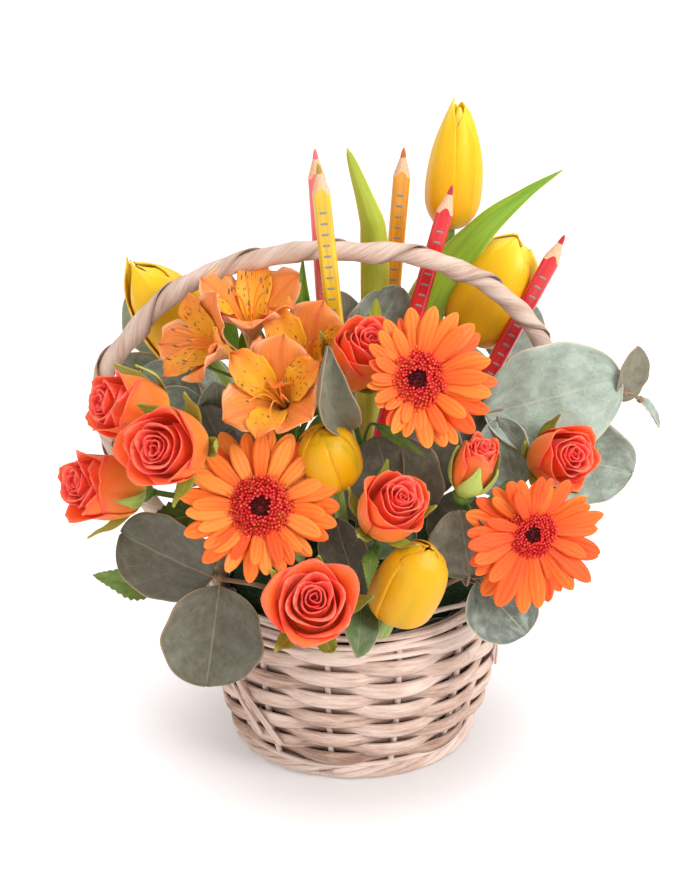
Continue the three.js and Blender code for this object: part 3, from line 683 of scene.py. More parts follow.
foam_random = np.random.default_rng(11)
dome = smooth_line([(43.9, 5.6), (49, 20), (52, 30), (54.5, 52), (56.2, 76), (54.5, 90), (51, 102), (43, 110),
                    (30, 112), (14, 112.3), (3, 112.3)], 9)
rings = turned(dome, 180)
rings[2:-1, :, :2] *= 1 + foam_random.normal(0, 0.006, rings.shape[:2])[2:-1, :, None]
rings[60:, :, 2] += foam_random.normal(0, 0.35, rings.shape[:2])[60:]
piece("floral_foam", [skin(rings)], [foam_stuff])


def grained_finish(name, roughness, pattern, stops, relief, **settings):
    """A finish whose shades and surface follow one noise. pattern is what speckle is given, and relief is the
    strength and the height of the bump."""
    made, tree, shader = new_finish(name, roughness, **settings)
    noise = speckle(tree, *pattern)
    tree.links.new(shades(tree, noise, *stops), shader.inputs["Base Color"])
    raised(tree, shader, noise, *relief)
    return made


film = grained_finish(
    "crumpled_film", 0.16, (0.22, 4, 0.6), [(0.3, (38, 36, 36)), (0.6, (70, 66, 66)), (0.8, (150, 144, 142))],
    (0.8, 0.0015), Specular_IOR_Level=0.7, Coat_Weight=0.4)
way = np.linspace(0, 2 * math.pi, 241)
shift = np.random.default_rng(4).uniform(0, 6, 6)
sheets = []
for share in np.linspace(0, 1, 34):
    high = 4.6 + 73.2 * share
    radius = np.interp(high, [4.3, 30, 76], [45.0, 53.1, 57.9])
    crease = sum(math.sin(share * 5 + k) * 0.28 * np.sin(way * (9 + 7 * k) + shift[k]) for k in range(5))
    brim = (share ** 6) * (1.0 * np.sin(way * 11 + 1) + 0.8 * np.sin(way * 23 + shift[1]))
    sheets.append(round_at(radius + crease, way, high + brim))
way = np.linspace(0, 2 * math.pi, 61)
disc = [round_at(out, way, 4.7) for out in np.linspace(2, 45, 10)]
piece("liner", [plait(sheets, 0.35, edge=1), plait(disc, 0.35, edge=1)], [film])

# ---------------------------------------------------------------- roses
# Spray roses with about twenty thin petals in a spiral: tight and upright at the heart, looser outwards, and
# the outermost rolled back at their margins so that they come to a point. The face is coral red, the reverse
# is orange and runs to yellow at the foot.

ROSES = {
    "left_top": ((-96.5, -52, 184), (-0.78, -0.50, 0.38), 17.5, 35, 0.6),
    "left_low": ((-107.8, -60, 149), (-0.78, -0.54, 0.33), 18, 36, 0.55),
    "left_front": ((-77, -84, 178.5), (-0.42, -0.82, 0.38), 20, 34, 0.75),
    "back": ((3, -38.5, 202), (0.24, -0.60, 0.76), 16.3, 38, 0.5),
    "middle": ((15.5, -80, 148.5), (0.30, -0.62, 0.72), 17, 32, 0.6),
    "front": ((-17, -100, 112), (0.03, -0.80, 0.60), 20, 31, 1.0),
    "right": ((90, -44, 156), (0.42, -0.82, 0.39), 16, 32, 0.6),
    "bud": ((51.6, -66, 161), (0.25, -0.30, 0.92), 10.5, 28, 0.0),
}


def petal_finish(name, face, reverse, roughness=0.5, streak=0.12, veins=1.4, bump=0.00025, glow=0.2):
    """A soft petal: face and reverse take shades that run from foot to lip, with fine lengthwise veins."""
    made, tree, shader = new_finish(name, roughness, Specular_IOR_Level=0.3, Sheen_Weight=0.06,
                                    Sheen_Roughness=0.4, Subsurface_Weight=glow, Subsurface_Scale=0.0018)
    shader.inputs["Subsurface Radius"].default_value = (1.0, 0.35, 0.12)
    vein = speckle(tree, veins, 3, 0.6)
    wander = (vein - 0.5) * streak + (speckle(tree, 0.16, 2, 0.5) - 0.5) * 0.5
    place = mark(tree, "along").worked("ADD", wander, use_clamp=True)
    colour = blend_of(tree, mark(tree, "under"), shades(tree, place, *face), shades(tree, place, *reverse))
    vary = ramp_of(tree, mark(tree, "copy_tone") + vein * 0.3, 0.2, 1.2, 0.86, 1.1)
    vary = node(tree, "ShaderNodeCombineColor", {0: vary, 1: vary, 2: vary}).outputs[0]
    colour = blend_of(tree, 1.0, colour, vary, "MULTIPLY")
    tree.links.new(colour, shader.inputs["Base Color"])
    raised(tree, shader, vein, 0.6, bump)
    return made, tree, shader, colour


# The last stop of both runs, paler at the very lip, is a painted highlight.
rose_petal, tree, shader, coral = petal_finish(
    "rose_petal", [(0.0, (236, 140, 60)), (0.3, (226, 40, 28)), (0.7, (244, 64, 42)), (0.92, (250, 92, 62)),
                   (1.0, (255, 142, 106))],
    [(0.0, (255, 206, 92)), (0.35, (254, 146, 56)), (0.7, (248, 98, 46)), (0.94, (244, 78, 46)),
     (1.0, (255, 128, 88))],
    roughness=0.42, streak=0.3, glow=0.7)
along, tone = mark(tree, "along"), mark(tree, "tone")
coral = blend_of(tree, ramp_of(tree, tone, 0.0, 0.6, 0.55, 0.0), coral, (206, 22, 38))
outside = ramp_of(tree, tone, 0.7, 0.95, 0.0, 0.8) * ramp_of(tree, along, 0.3, 0.95, 0.4, 1.0)
coral = blend_of(tree, outside, coral, (255, 128, 54))
to_the_side = ramp_of(tree, abs(mark(tree, "across")), 0.3, 1.0, 0.0, 0.45)
lip = ramp_of(tree, along, 0.8, 0.98) * (0.35 + to_the_side)
coral = blend_of(tree, lip, coral, (240, 66, 78))
tree.links.new(coral, shader.inputs["Base Color"])
tree.links.new(coral, shader.inputs["Emission Color"])  # painted glow: the petals give off a little light of their own, which lightens the shade between them
shader.inputs["Emission Strength"].default_value = 0.06


def axes_of(facing):
    """Sideways, upward and outward directions of something that faces one way."""
    out = unit(np.asarray(facing, float))
    right = unit(np.cross([0, 0, 1], out))
    return np.array([right, np.cross(out, right), out])


def placed(one, centre, facing):
    """Turns a bit made about its own upward axis to face one way at a place."""
    one["places"] = one["places"] @ axes_of(facing) + np.asarray(centre, float)
    return one


def cup_petal(outline, half_turns, turn, lip, rows=16, columns=15, roll=0.0, roll_from=0.6, slant=0.0,
              wave=0.0, wave_turn=0.0, thickness=0.5, tone=0.0, finish=0, keel=0.0, pinch=0.0):
    """A petal that stands round an axis. outline runs from foot to lip as radius and height; half_turns
    gives half the petal's width in degrees along it; lip says how the upper edge falls off to the sides;
    roll bends the side margins outward and down; slant sets one side outside the other; keel raises a ridge
    along the middle."""
    line = smooth_line(outline, 10)
    run = run_of(line)
    run /= run[-1]
    across = np.linspace(-1, 1, columns)
    beside = np.abs(across)
    share = np.linspace(0, 1, rows)[:, None] ** 0.9 * (1 - lip[0] * beside ** lip[1])
    radius, high = (np.interp(share, run, of) for of in line.T)
    half = np.radians(np.interp(share, np.linspace(0, 1, len(half_turns)), half_turns))
    bend = np.clip((share - roll_from) / (1 - roll_from), 0, 1) ** 1.6
    side = beside ** 1.7
    radius = radius * (1 + slant * across) + 0.5 * roll * bend * side
    high = high - 1.3 * roll * bend * side ** 1.1
    radius = radius + wave * np.sin(across * 5.3 + wave_turn) * share ** 4
    radius = radius + keel * np.exp(-(across / 0.22) ** 2) * np.sin(np.pi * share) ** 0.5
    radius = radius - pinch * share ** 5 * beside
    way = math.radians(turn) + half * across
    return plait(round_at(radius, way, high), thickness, finish, tone=tone, edge=0.45)


WOUND, LEANING, BROAD = 8, 6, 6  # petals of the tight heart, of the ring round it and of the open outside
SPIRAL_TURN, BROAD_TURN = 137.5, 144  # degrees from one petal to the next, and among the broad ones


def rose_bits(centre, facing, radius, length, opening, seed):
    """The petals of one rose from its heart outwards. opening runs from 0, a shut bud, to 1, fully blown."""
    random = np.random.default_rng(seed)
    made = []
    half = length / 2
    right, up, _ = axes_of(facing)
    way = random.uniform(0, 6)
    aside = (right * math.cos(way) + up * math.sin(way)) * radius * 0.1
    for k in range(WOUND + LEANING + BROAD):
        turn = k * SPIRAL_TURN + random.normal(0, 7)
        if k < WOUND:
            t = k / WOUND
            tone = 0.5 * t
            lip_out, top = radius * (0.05 + 0.30 * t) + 0.2, half * (0.82 + 0.12 * math.sin(math.pi * t))
            belly, neck, drop = lip_out, lip_out - radius * 0.045 * t, 0.0
            wide, roll, fall, wave = 132 - 34 * t, 0.0, (0.11, 2.0), 0.42
        elif k < WOUND + LEANING:
            t = (k - WOUND) / LEANING
            tone = 0.5 + 0.25 * t
            lip_out = radius * (0.37 + 0.04 * opening + (0.23 + 0.05 * opening) * t)
            top = half * (0.95 - 0.08 * t - 0.08 * opening * t) + random.normal(0, 0.4)
            neck = lip_out - radius * (0.04 + 0.05 * opening)
            belly, drop = neck, 0.2 * opening
            roll = radius * opening * random.uniform(0.03, 0.12)
            wide, fall, wave = 92 - 10 * t, (0.16, 1.5), 0.8
        else:
            t = (k - WOUND - LEANING) / (BROAD - 1)
            tone = 0.8 + 0.2 * t
            lip_out = radius * (0.60 + 0.10 * opening + (0.16 + 0.20 * opening) * t
                                + opening * random.uniform(0, 0.06))
            belly = radius * (0.64 + 0.14 * t)
            top = half * (0.92 - opening * (0.10 + 0.24 * t)) + random.normal(0, 0.6)
            neck = min(lip_out - radius * 0.05, belly * 0.7 + lip_out * 0.3)
            drop = radius * 0.08 * opening
            roll = radius * (0.05 + opening * random.uniform(0.3, 0.5))
            wide, fall, wave = 74 - 12 * t, (0.27, 1.15), 1.0
            turn = BROAD_TURN * (k - WOUND - LEANING) + seed * 31 + random.normal(0, 9)
        top += random.normal(0, 0.3)
        outline = [
            (radius * (0.10 + 0.14 * tone), -half), (belly * 0.62 + radius * 0.12, -half * 0.76),
            (belly * 0.98 + 0.3, -half * 0.2), (belly, top - half * 0.46), (neck, top - half * 0.17),
            (lip_out * 0.94 + neck * 0.06, top), (lip_out, top - drop),
        ]
        petal = cup_petal(
            outline, [wide * 0.8, wide, wide, wide, wide, wide * 0.96], turn, fall, rows=18, columns=17,
            roll=roll, slant=0.11 * (1 - 0.6 * tone), wave=wave, wave_turn=random.uniform(0, 6),
            thickness=0.42, tone=tone, roll_from=0.58, pinch=radius * 0.015, keel=0.35 * tone)
        made.append(placed(petal, np.add(centre, aside * (1 - tone)), facing))
    return made


for name, (centre, facing, radius, length, opening) in ROSES.items():
    title = "rose_" + name
    bits = rose_bits(centre, facing, radius, length, opening, 20 + len(name) * 7 + int(radius))
    piece(title, bits, [rose_petal])

# ---------------------------------------------------------------- rose sprays
# One cut green stem with side shoots for each group of roses. Under every bloom sit a round hip and five
# narrow sepals; the leaves are toothed.

stem_green = grained_finish(
    "stem_green", 0.5, (1.6, 3), [(0.3, (62, 92, 34)), (0.55, (98, 132, 52)), (0.75, (142, 168, 78))],
    (0.5, 0.0003), Specular_IOR_Level=0.35, Subsurface_Weight=0.08, Subsurface_Scale=0.001)


def leaf_finish(name, face, reverse, rib_colour, edge_colour, rib_share=0.05, vein_strength=0.3,
                roughness=0.45, bloom=(0, 0, 0), bloom_share=0.0, side_veins=9.0):
    """A leaf: shades from its darker to its lighter places, pale ribs and a fine margin."""
    made, tree, shader = new_finish(name, roughness, Specular_IOR_Level=0.35, Subsurface_Weight=0.06,
                                    Subsurface_Scale=0.001)
    mottle = speckle(tree, 0.35, 4, 0.6, (1.0, 1.0, 12.0))
    place = mottle * 0.6 + mark(tree, "tone") * 0.55
    colour = blend_of(tree, mark(tree, "under"), shades(tree, place, *face), shades(tree, place, *reverse))
    beside = abs(mark(tree, "across"))
    line = mark(tree, "along") * side_veins - beside * (side_veins * 0.28) + speckle(tree, 0.25, 2) * 1.2
    thin = ramp_of(tree, line.worked("PINGPONG", 0.5), 0.0, 0.09, vein_strength, 0.0)
    colour = blend_of(tree, thin, colour, rib_colour)
    if bloom_share:
        dust = ramp_of(tree, speckle(tree, 0.16, 3, 0.6, (1.0, 1.0, 12.0)), 0.42, 0.72, 0, bloom_share)
        colour = blend_of(tree, dust, colour, bloom)
    colour = blend_of(tree, ramp_of(tree, beside, 0.0, rib_share, 0.75, 0.0), colour, rib_colour)
    colour = blend_of(tree, ramp_of(tree, beside, 0.955, 1.0, 0.0, 0.85), colour, edge_colour)
    tree.links.new(colour, shader.inputs["Base Color"])
    raised(tree, shader, thin * 2.0 + mottle, 0.5, 0.0005)
    return made


rose_leaf = leaf_finish(
    "rose_leaf", [(0.3, (66, 92, 36)), (0.7, (108, 138, 58)), (0.95, (146, 166, 84))],
    [(0.3, (110, 132, 84)), (0.8, (150, 168, 112))], (158, 180, 110), (120, 82, 44))
sepal_green = leaf_finish(
    "sepal_green", [(0.3, (96, 128, 44)), (0.8, (164, 184, 74))],
    [(0.3, (120, 146, 58)), (0.8, (176, 192, 96))], (176, 190, 96), (150, 112, 62), rib_share=0.12)


def leaf(base, tip, facing, width, tone, cup=0.1, arch=0.05, droop=0.0, wave=0.0, seed=0, point=0.0, teeth=0,
         rows=30, columns=17, thickness=0.7, finish=0, roll=0.0, fold=0.0, bow=0.0):
    """A leaf blade from its foot to its tip, with its upper side to one direction. point runs from 0, a
    round leaf, to 1, a lance; fold lifts both halves, roll twists the blade and bow bends it to the side."""
    base, tip = np.asarray(base, float), np.asarray(tip, float)
    random = np.random.default_rng(seed + int(abs(base[0] * 7 + base[2] * 13)))
    length = np.linalg.norm(tip - base)
    forth = (tip - base) / length
    up = unit(np.asarray(facing, float) - forth * np.dot(facing, forth))
    side = np.cross(up, forth)
    step = np.linspace(0.02, 0.98, rows)[:, None]
    u = (1 - np.cos(np.pi * step)) / 2
    half = width / 2 * ((1 - point) * np.sin(np.pi * step) + point * np.sin(np.pi * u ** 0.7) ** 1.25)
    half = half * (1 + 0.025 * np.sin(u * 9 + random.uniform(0, 6))
                   + 0.02 * np.sin(u * 17 + random.uniform(0, 6)))
    if teeth:
        half = half * (1 - 0.26 * ((u * teeth) % 1))
    turn = random.uniform(0, 6, 4)
    v = np.linspace(-1, 1, columns)
    beside = np.abs(v)
    hump = length * 4 * u * (1 - u)
    lift = arch * hump - droop * length * u ** 2
    lift = lift + cup * half * v ** 2 * 1.6 - 0.012 * width * np.exp(-(v / 0.07) ** 2)
    lift = lift + wave * width * 0.05 * np.sin(u * 8 + turn[0] + v * 1.5) * beside ** 1.5
    lift = lift + 0.012 * width * np.sin(u * 23 + turn[1] - beside * 4)
    angle = fold * beside
    lift = lift + half * beside * np.sin(angle) + half * v * np.sin(roll * (u - 0.5))
    reach = bow * hump + half * v * np.cos(angle)
    grid = base + forth * (u * length)[..., None] + side * reach[..., None] + up * lift[..., None]
    return plait(grid, thickness, finish, tone=tone, edge=0.55)


def stalk(points, radius, tone=0.4):
    """A thin stalk through the points that swells a little at its joint."""
    line = smooth_line(points, 7)
    size = radius * (1 + 0.5 * np.exp(-np.linspace(0, 1, len(line)) * 12))
    return tube(line, size, 7, tone=tone)


def leaf_on_stalk(knots, base, tip, facing, width, bend, inside, radius, stalk_tone, **blade):
    """A leaf and its stalk, which runs from the nearest knot of the stem, by the bend if there is one, and
    ends a share of the leaf's length inside it."""
    start = bend or base
    nearest = min(knots, key=lambda knot: np.linalg.norm(np.subtract(knot, start)))
    within = np.asarray(base) * (1 - inside) + np.asarray(tip) * inside
    way = [nearest] + ([bend] if bend else []) + [base, within]
    return [stalk(way, radius, stalk_tone), leaf(base, tip, facing, width, **blade)]


SEPALS = 5


def sepals(centre, facing, radius, length, seed, spread, wide=1.0, tall=1.0):
    """The green cup and the sepals that lie against a bloom's foot."""
    random = np.random.default_rng(seed)
    half = length / 2
    hip = smooth_line([(1.6, -half - 9), (2.2, -half - 7), (4.4, -half - 4.2), (4.9, -half - 2),
                       (4.0, -half - 0.4), (1.4, -half + 0.4)], 5)
    made = [placed(skin(turned(hip, 14), 0.6), centre, facing)]
    for k in range(SEPALS):
        loose = random.uniform(0.0, 1.0) * spread
        long = random.uniform(0.8, 1.15)
        outline = [(3.6, -half - 0.8), (radius * 0.6, -half * 0.82),
                   (radius * (0.98 + 0.15 * loose), -half * 0.42),
                   (radius * (1.08 + 0.3 * loose), half * (0.3 * tall - 0.32 - 0.25 * loose) * long),
                   (radius * (1.24 - 0.12 * tall + 0.75 * loose),
                    half * 0.3 * tall * (1 - 1.3 * loose) * long)]
        sepal = cup_petal(
            outline, np.array([34, 22, 15, 7, 1.2]) * wide, k * 360 / SEPALS + random.uniform(-14, 14),
            (0.02, 2), rows=18, columns=7, thickness=0.6, tone=random.uniform(0.3, 1), finish=2, keel=0.25,
            wave=0.3)
        made.append(placed(sepal, centre, facing))
    return made


def spray(name, stem, branches, leaves):
    """A stem with a branch to each bloom, its sepals and its leaves. A leaf is its foot, tip, facing, width,
    the bend of its stalk and its tone."""
    made = [tube(smooth_line(stem, 8), np.linspace(1.9, 1.55, (len(stem) - 1) * 8 + 1), 9, tone=0.2)]
    knots = list(stem)
    for bloom, between in branches.items():
        centre, facing, radius, length, _ = ROSES[bloom]
        under = np.asarray(centre) - unit(np.asarray(facing)) * (length / 2 + 8)
        made.append(stalk([stem[-1], *between, under], 1.35))
        close = {"spread": 0.12, "wide": 2.1, "tall": 2.1} if bloom == "bud" else {"spread": 0.4}
        made += sepals(centre, facing, radius * 0.93, length, 3 + len(bloom) + int(radius), **close)
        knots += between
    for base, tip, facing, width, bend, tone in leaves:
        made += leaf_on_stalk(knots, base, tip, facing, width, bend, 0.3, 0.7, 0.7, tone=tone, point=0.8,
                              teeth=11, finish=1, arch=0.06, droop=0.05, wave=0.6, thickness=0.5)
    piece("rose_spray_" + name, made, [stem_green, rose_leaf, sepal_green])


spray("left", [(-27, -16, 84), (-38, -24, 108), (-56, -38, 132)], {
    "left_top": [(-70, -44, 158)], "left_low": [(-74, -46, 138)], "left_front": [(-66, -54, 154)]}, [
    ((-86, -54, 97), (-115.5, -52, 103), (-0.2, -0.8, 0.5), 16, (-62, -44, 104), 0.8),
    ((-68, -47, 130), (-93, -52, 127), (-0.1, -0.8, 0.6), 18, (-62, -44, 130), 0.3),
    ((-64, -44, 140), (-74, -46, 118), (0.1, -0.9, 0.3), 14, (-62, -42, 138), 0.2)])
spray("back", [(3, -17, 80), (4, -21, 110), (4, -23, 150)], {"back": []}, [
    ((9, -46, 173), (31, -56, 162), (0.1, -0.8, 0.6), 7, (6, -36, 166), 0.5)])
spray("middle", [(6, -33, 84), (8, -44, 104), (11, -56, 120)], {"middle": []}, [
    ((8, -74, 126), (6, -92, 117), (0, -0.5, 0.86), 8, (10, -62, 124), 0.5)])
spray("front", [(-10, -38, 76), (-12, -50, 90), (-15, -68, 96)], {"front": []}, [])
spray("right", [(23, -30, 82), (34, -42, 103), (48, -48, 124)], {
    "right": [(64, -40, 138)], "bud": [(50, -58, 138)]}, [
    ((62, -42, 137), (80, -46, 138), (0.1, -0.8, 0.6), 9, (56, -42, 132), 0.5)])

# ---------------------------------------------------------------- gerberas
# Each head has one full ring of long ray petals and a looser, shorter ring over it, all ridged lengthwise.
# In the middle stand packed florets: dark unopened ones, then crimson ones, then a short orange fringe. A
# green cup of narrow bracts holds the head on its soft hairy stem.

GERBERAS = {
    "left": {"centre": (-39.4, -76, 147), "facing": (-0.03, -0.86, 0.5), "radius": 36, "seed": 3,
             "stem": [(-24, -42, 108), (-19, -31, 82)], "tilt": -0.05, "loose": 0.09, "short": (-1.4, 0.13),
             "deep": -0.35, "disc": 1.0},
    "top": {"centre": (26.6, -58, 197.6), "facing": (0.1, -0.82, 0.56), "radius": 35, "seed": 8,
            "stem": [(17, -24, 150), (14, -24, 110), (12, -20, 80)], "tilt": -0.08, "loose": 0.13,
            "short": (3.3, 0.36), "deep": 0.2, "disc": 1.0},
    "right": {"centre": (76.6, -68, 131.6), "facing": (0.2, -0.96, 0.19), "radius": 34.5, "seed": 12,
              "stem": [(45, -31, 103), (33, -22, 86)], "tilt": -0.07, "loose": 0.16, "short": (1.7, 0.2),
              "deep": 0.6, "disc": 0.87},
}
OUTER_PETALS, INNER_PETALS = 25, 16

ray_petal, tree, shader, orange = petal_finish(
    "gerbera_ray_petal", [(0.0, (232, 76, 20)), (0.3, (250, 110, 28)), (0.8, (255, 134, 44)),
                          (1.0, (255, 152, 62))],
    [(0.0, (226, 92, 30)), (0.5, (250, 150, 64)), (1.0, (252, 170, 88))], streak=0.16, veins=1.9, bump=0.0004)
# painted shade: darker along the two lengthwise furrows of each ray petal
furrow_shade = ramp_of(tree, abs(abs(mark(tree, "across")) - 0.36), 0.0, 0.12, 0.45, 0.0)
orange = blend_of(tree, furrow_shade, orange, (228, 84, 20))
copy_tone = mark(tree, "copy_tone")
orange = blend_of(tree, ramp_of(tree, copy_tone, 0.45, 1.0, 0.0, 0.8), orange, (230, 68, 22))
orange = blend_of(tree, ramp_of(tree, copy_tone, 0.0, 0.35, 0.5, 0.0), orange, (255, 160, 70))
tree.links.new(orange, shader.inputs["Base Color"])

floret_finishes = []
for name, stops in (
    ("gerbera_bud_florets", [(0.0, (14, 4, 6)), (0.6, (34, 8, 14)), (1.0, (74, 16, 26))]),
    ("gerbera_open_florets", [
        (0.0, (196, 18, 32)), (0.45, (228, 36, 46)), (0.72, (240, 56, 54)), (1.0, (252, 116, 82))]),
    ("gerbera_fringe_florets", [(0.0, (222, 40, 34)), (0.4, (246, 84, 50)), (1.0, (255, 140, 76))]),
):
    made, tree, shader = new_finish(name, 0.6, Specular_IOR_Level=0.2, Subsurface_Weight=0.3,
                                    Subsurface_Scale=0.001)
    vary = mark(tree, "along") + (mark(tree, "copy_tone") - 0.5) * 0.35
    tree.links.new(shades(tree, vary, *stops), shader.inputs["Base Color"])
    raised(tree, shader, speckle(tree, 3.0, 2), 0.4, 0.0002)
    floret_finishes.append(made)

RAY_LENGTH = 36.0  # the patterns are drawn for a head of this radius
RAY_FOOT = 8.5


def pattern_set(name, kinds):
    """A collection of patterns, for copies that pick one of them by number."""
    made = bpy.data.collections.new(name)
    bpy.context.scene.collection.children.link(made)
    for number, bits in enumerate(kinds):
        made.objects.link(bpy.data.objects.new(f"{name}_{number}", meshed(f"{name}_{number}", bits)))
    return made


def ray_petal_pattern(kind):
    """One ray petal that lies along X from the head's middle: narrow at its foot, with two furrows."""
    random = np.random.default_rng(60 + kind)
    u = 1 - (1 - np.linspace(0, 1, 20)[:, None]) ** 1.5  # closer together toward the round tip
    v = np.linspace(-1, 1, 13)[None, :]
    wide = 4.4 + 0.5 * random.uniform(-1, 1)
    round_tip = np.sqrt(np.clip(1 - (np.clip(u - 0.58, 0, 1) / 0.424) ** 2.0, 0.004, 1))
    half = wide * np.clip(0.42 + u, 0, 1) * round_tip
    notch = 0.012 * (np.abs(v) > 0.3) * (u > 0.9)
    reach = RAY_FOOT + (RAY_LENGTH - RAY_FOOT) * u * (1 - notch) + 0.5 * random.uniform(-1, 1) * u
    side = half * v + 1.3 * random.uniform(-1, 1) * u ** 2
    high = -0.6 + 1.6 * random.uniform(-0.4, 1) * np.sin(np.pi * u * 0.9)
    high = high + random.uniform(-3.2, 0.8) * u ** 3
    high = high + 0.28 * np.cos(v * 3 * np.pi) * np.clip(u * 3, 0, 1) * np.clip((1.02 - u) * 5, 0, 1)
    high = high - (0.10 + 0.14 * random.uniform(-1, 1)) * half * v ** 2
    high = high + 0.12 * random.uniform(-1, 1) * half * v * u * 2
    grid = np.stack([reach + 0 * v, side, high + 0 * v], -1)
    return plait(grid, 0.55, tone=0.5, edge=0.5)


def floret_pattern(kind):
    """A small round bud, an open floret with five lobes, or a strap of the fringe."""
    if kind == "bud":
        return skin(turned([(0.30, 0), (0.46, 0.6), (0.40, 1.15), (0.12, 1.45)], 7))
    if kind == "open":
        way = np.arange(10) * 2 * math.pi / 10
        outline = [(0.24, 0), (0.30, 1.3), (0.60, 2.15), (0.56, 2.5), (0.26, 2.1), (0.10, 2.3)]
        lobes = 1 + np.array([0, 0, 0.3, 0.3, 0.1, 0])[:, None] * np.cos(way * 5)
        out, high = np.array(outline).T[..., None]
        return skin(round_at(out * lobes, way, high))
    u, v = np.linspace(0, 1, 6)[:, None], np.linspace(-1, 1, 4)
    half = 0.6 * np.sqrt(1 - (2 * u - 0.95) ** 2 * 0.9)
    grid = np.stack([half * v, -0.6 * u ** 2 + 0.25 * v ** 2, 2.6 * u * (1 - 0.05 * v ** 2)], -1)
    return plait(grid, 0.32, edge=0.6)


def chance(tree, low, high, seed, whole=False):
    """A random number for each point or copy."""
    first, out = (4, 2) if whole else (2, 1)
    made = node(tree, "FunctionNodeRandomValue", {first: low, first + 1: high, "Seed": seed},
                data_type="INT" if whole else "FLOAT")
    return Reading(tree, made.outputs[out])


def toned_copies(tree, points, pattern, rotation, scale, seed, lightest=0.0, **pick):
    """Copies of a pattern on points, each with a random shade of its own, from its lightest one to 1."""
    copies = copied(tree, points, pattern, Rotation=rotation, Scale=scale, **pick)
    kept = node(tree, "GeometryNodeStoreNamedAttribute", {"Geometry": copies, "Name": "copy_tone"},
                data_type="FLOAT", domain="INSTANCE")
    value = next(s for s in kept.inputs if s.name == "Value" and s.enabled)
    feed(tree, value, chance(tree, lightest, 1.0, seed))
    return kept.outputs[0]


RAY_KINDS = 6
OVER_LIFT = 0.9 * MM  # from the outer ring to the one over it


def ray_ring(kinds, finish, head):
    """The ray petals of one head, grown about its own upward axis."""
    tree, given, values = node_tree(
        "ray_petals", Petal_Kinds=("Collection", kinds), Outer_Petals=("Int", OUTER_PETALS),
        Inner_Petals=("Int", INNER_PETALS), Size=("Float", head["radius"] / RAY_LENGTH),
        Tilt=("Float", head["tilt"]), Loose=("Float", head["loose"]), Seed=("Int", head["seed"]),
        Short_Side=("Float", head["short"][0]), Short_Share=("Float", head["short"][1]),
        Deepness=("Float", head["deep"]), Finish=("Material", finish))
    count = given["Outer Petals"] + given["Inner Petals"]
    points = node(tree, "GeometryNodePoints", {"Count": count}).outputs[0]
    index = index_of(tree)
    over = index.worked("GREATER_THAN", given["Outer Petals"] - 0.5)  # 1 in the ring that lies over the other
    seeds = [given["Seed"] + float(k) for k in range(7)]
    outer_step = 2 * math.pi / given["Outer Petals"]
    inner_step = 2 * math.pi / given["Inner Petals"]
    angle = index * (outer_step + over * (inner_step - outer_step)) + chance(tree, -0.07, 0.07, seeds[0])
    toward = (angle - given["Short Side"]).worked("COSINE").worked("MULTIPLY_ADD", 0.5, 0.5)
    shorter = toward.worked("POWER", 1.5) * given["Short Share"]
    tilt = given["Tilt"] + chance(tree, -1.0, 1.0, seeds[1]) * given["Loose"] + over * -0.07 - shorter * 0.6
    roll = chance(tree, -2.2, 2.2, seeds[2]) * given["Loose"]
    rotation = spot_of(tree, X=roll, Y=tilt, Z=angle)
    size = given["Size"] * chance(tree, 0.90, 1.04, seeds[3]) * (1.0 - over * 0.13) * (1.0 - shorter)
    lift = spot_of(tree, Z=over * OVER_LIFT)
    points = node(tree, "GeometryNodeSetPosition", {"Geometry": points, "Position": lift}).outputs[0]
    source = node(tree, "GeometryNodeCollectionInfo", {
        "Collection": given["Petal Kinds"], "Separate Children": True, "Reset Children": True}).outputs[0]
    pick = {"Pick Instance": True, "Instance Index": chance(tree, 0, RAY_KINDS - 1, seeds[5], whole=True)}
    copies = toned_copies(tree, points, source, rotation, size, seeds[4], given["Deepness"], **pick)
    end_with(tree, copies, given["Finish"])
    return grown("ray_petals", tree, values)


GOLDEN_TURN = 137.508  # degrees from one floret to the next


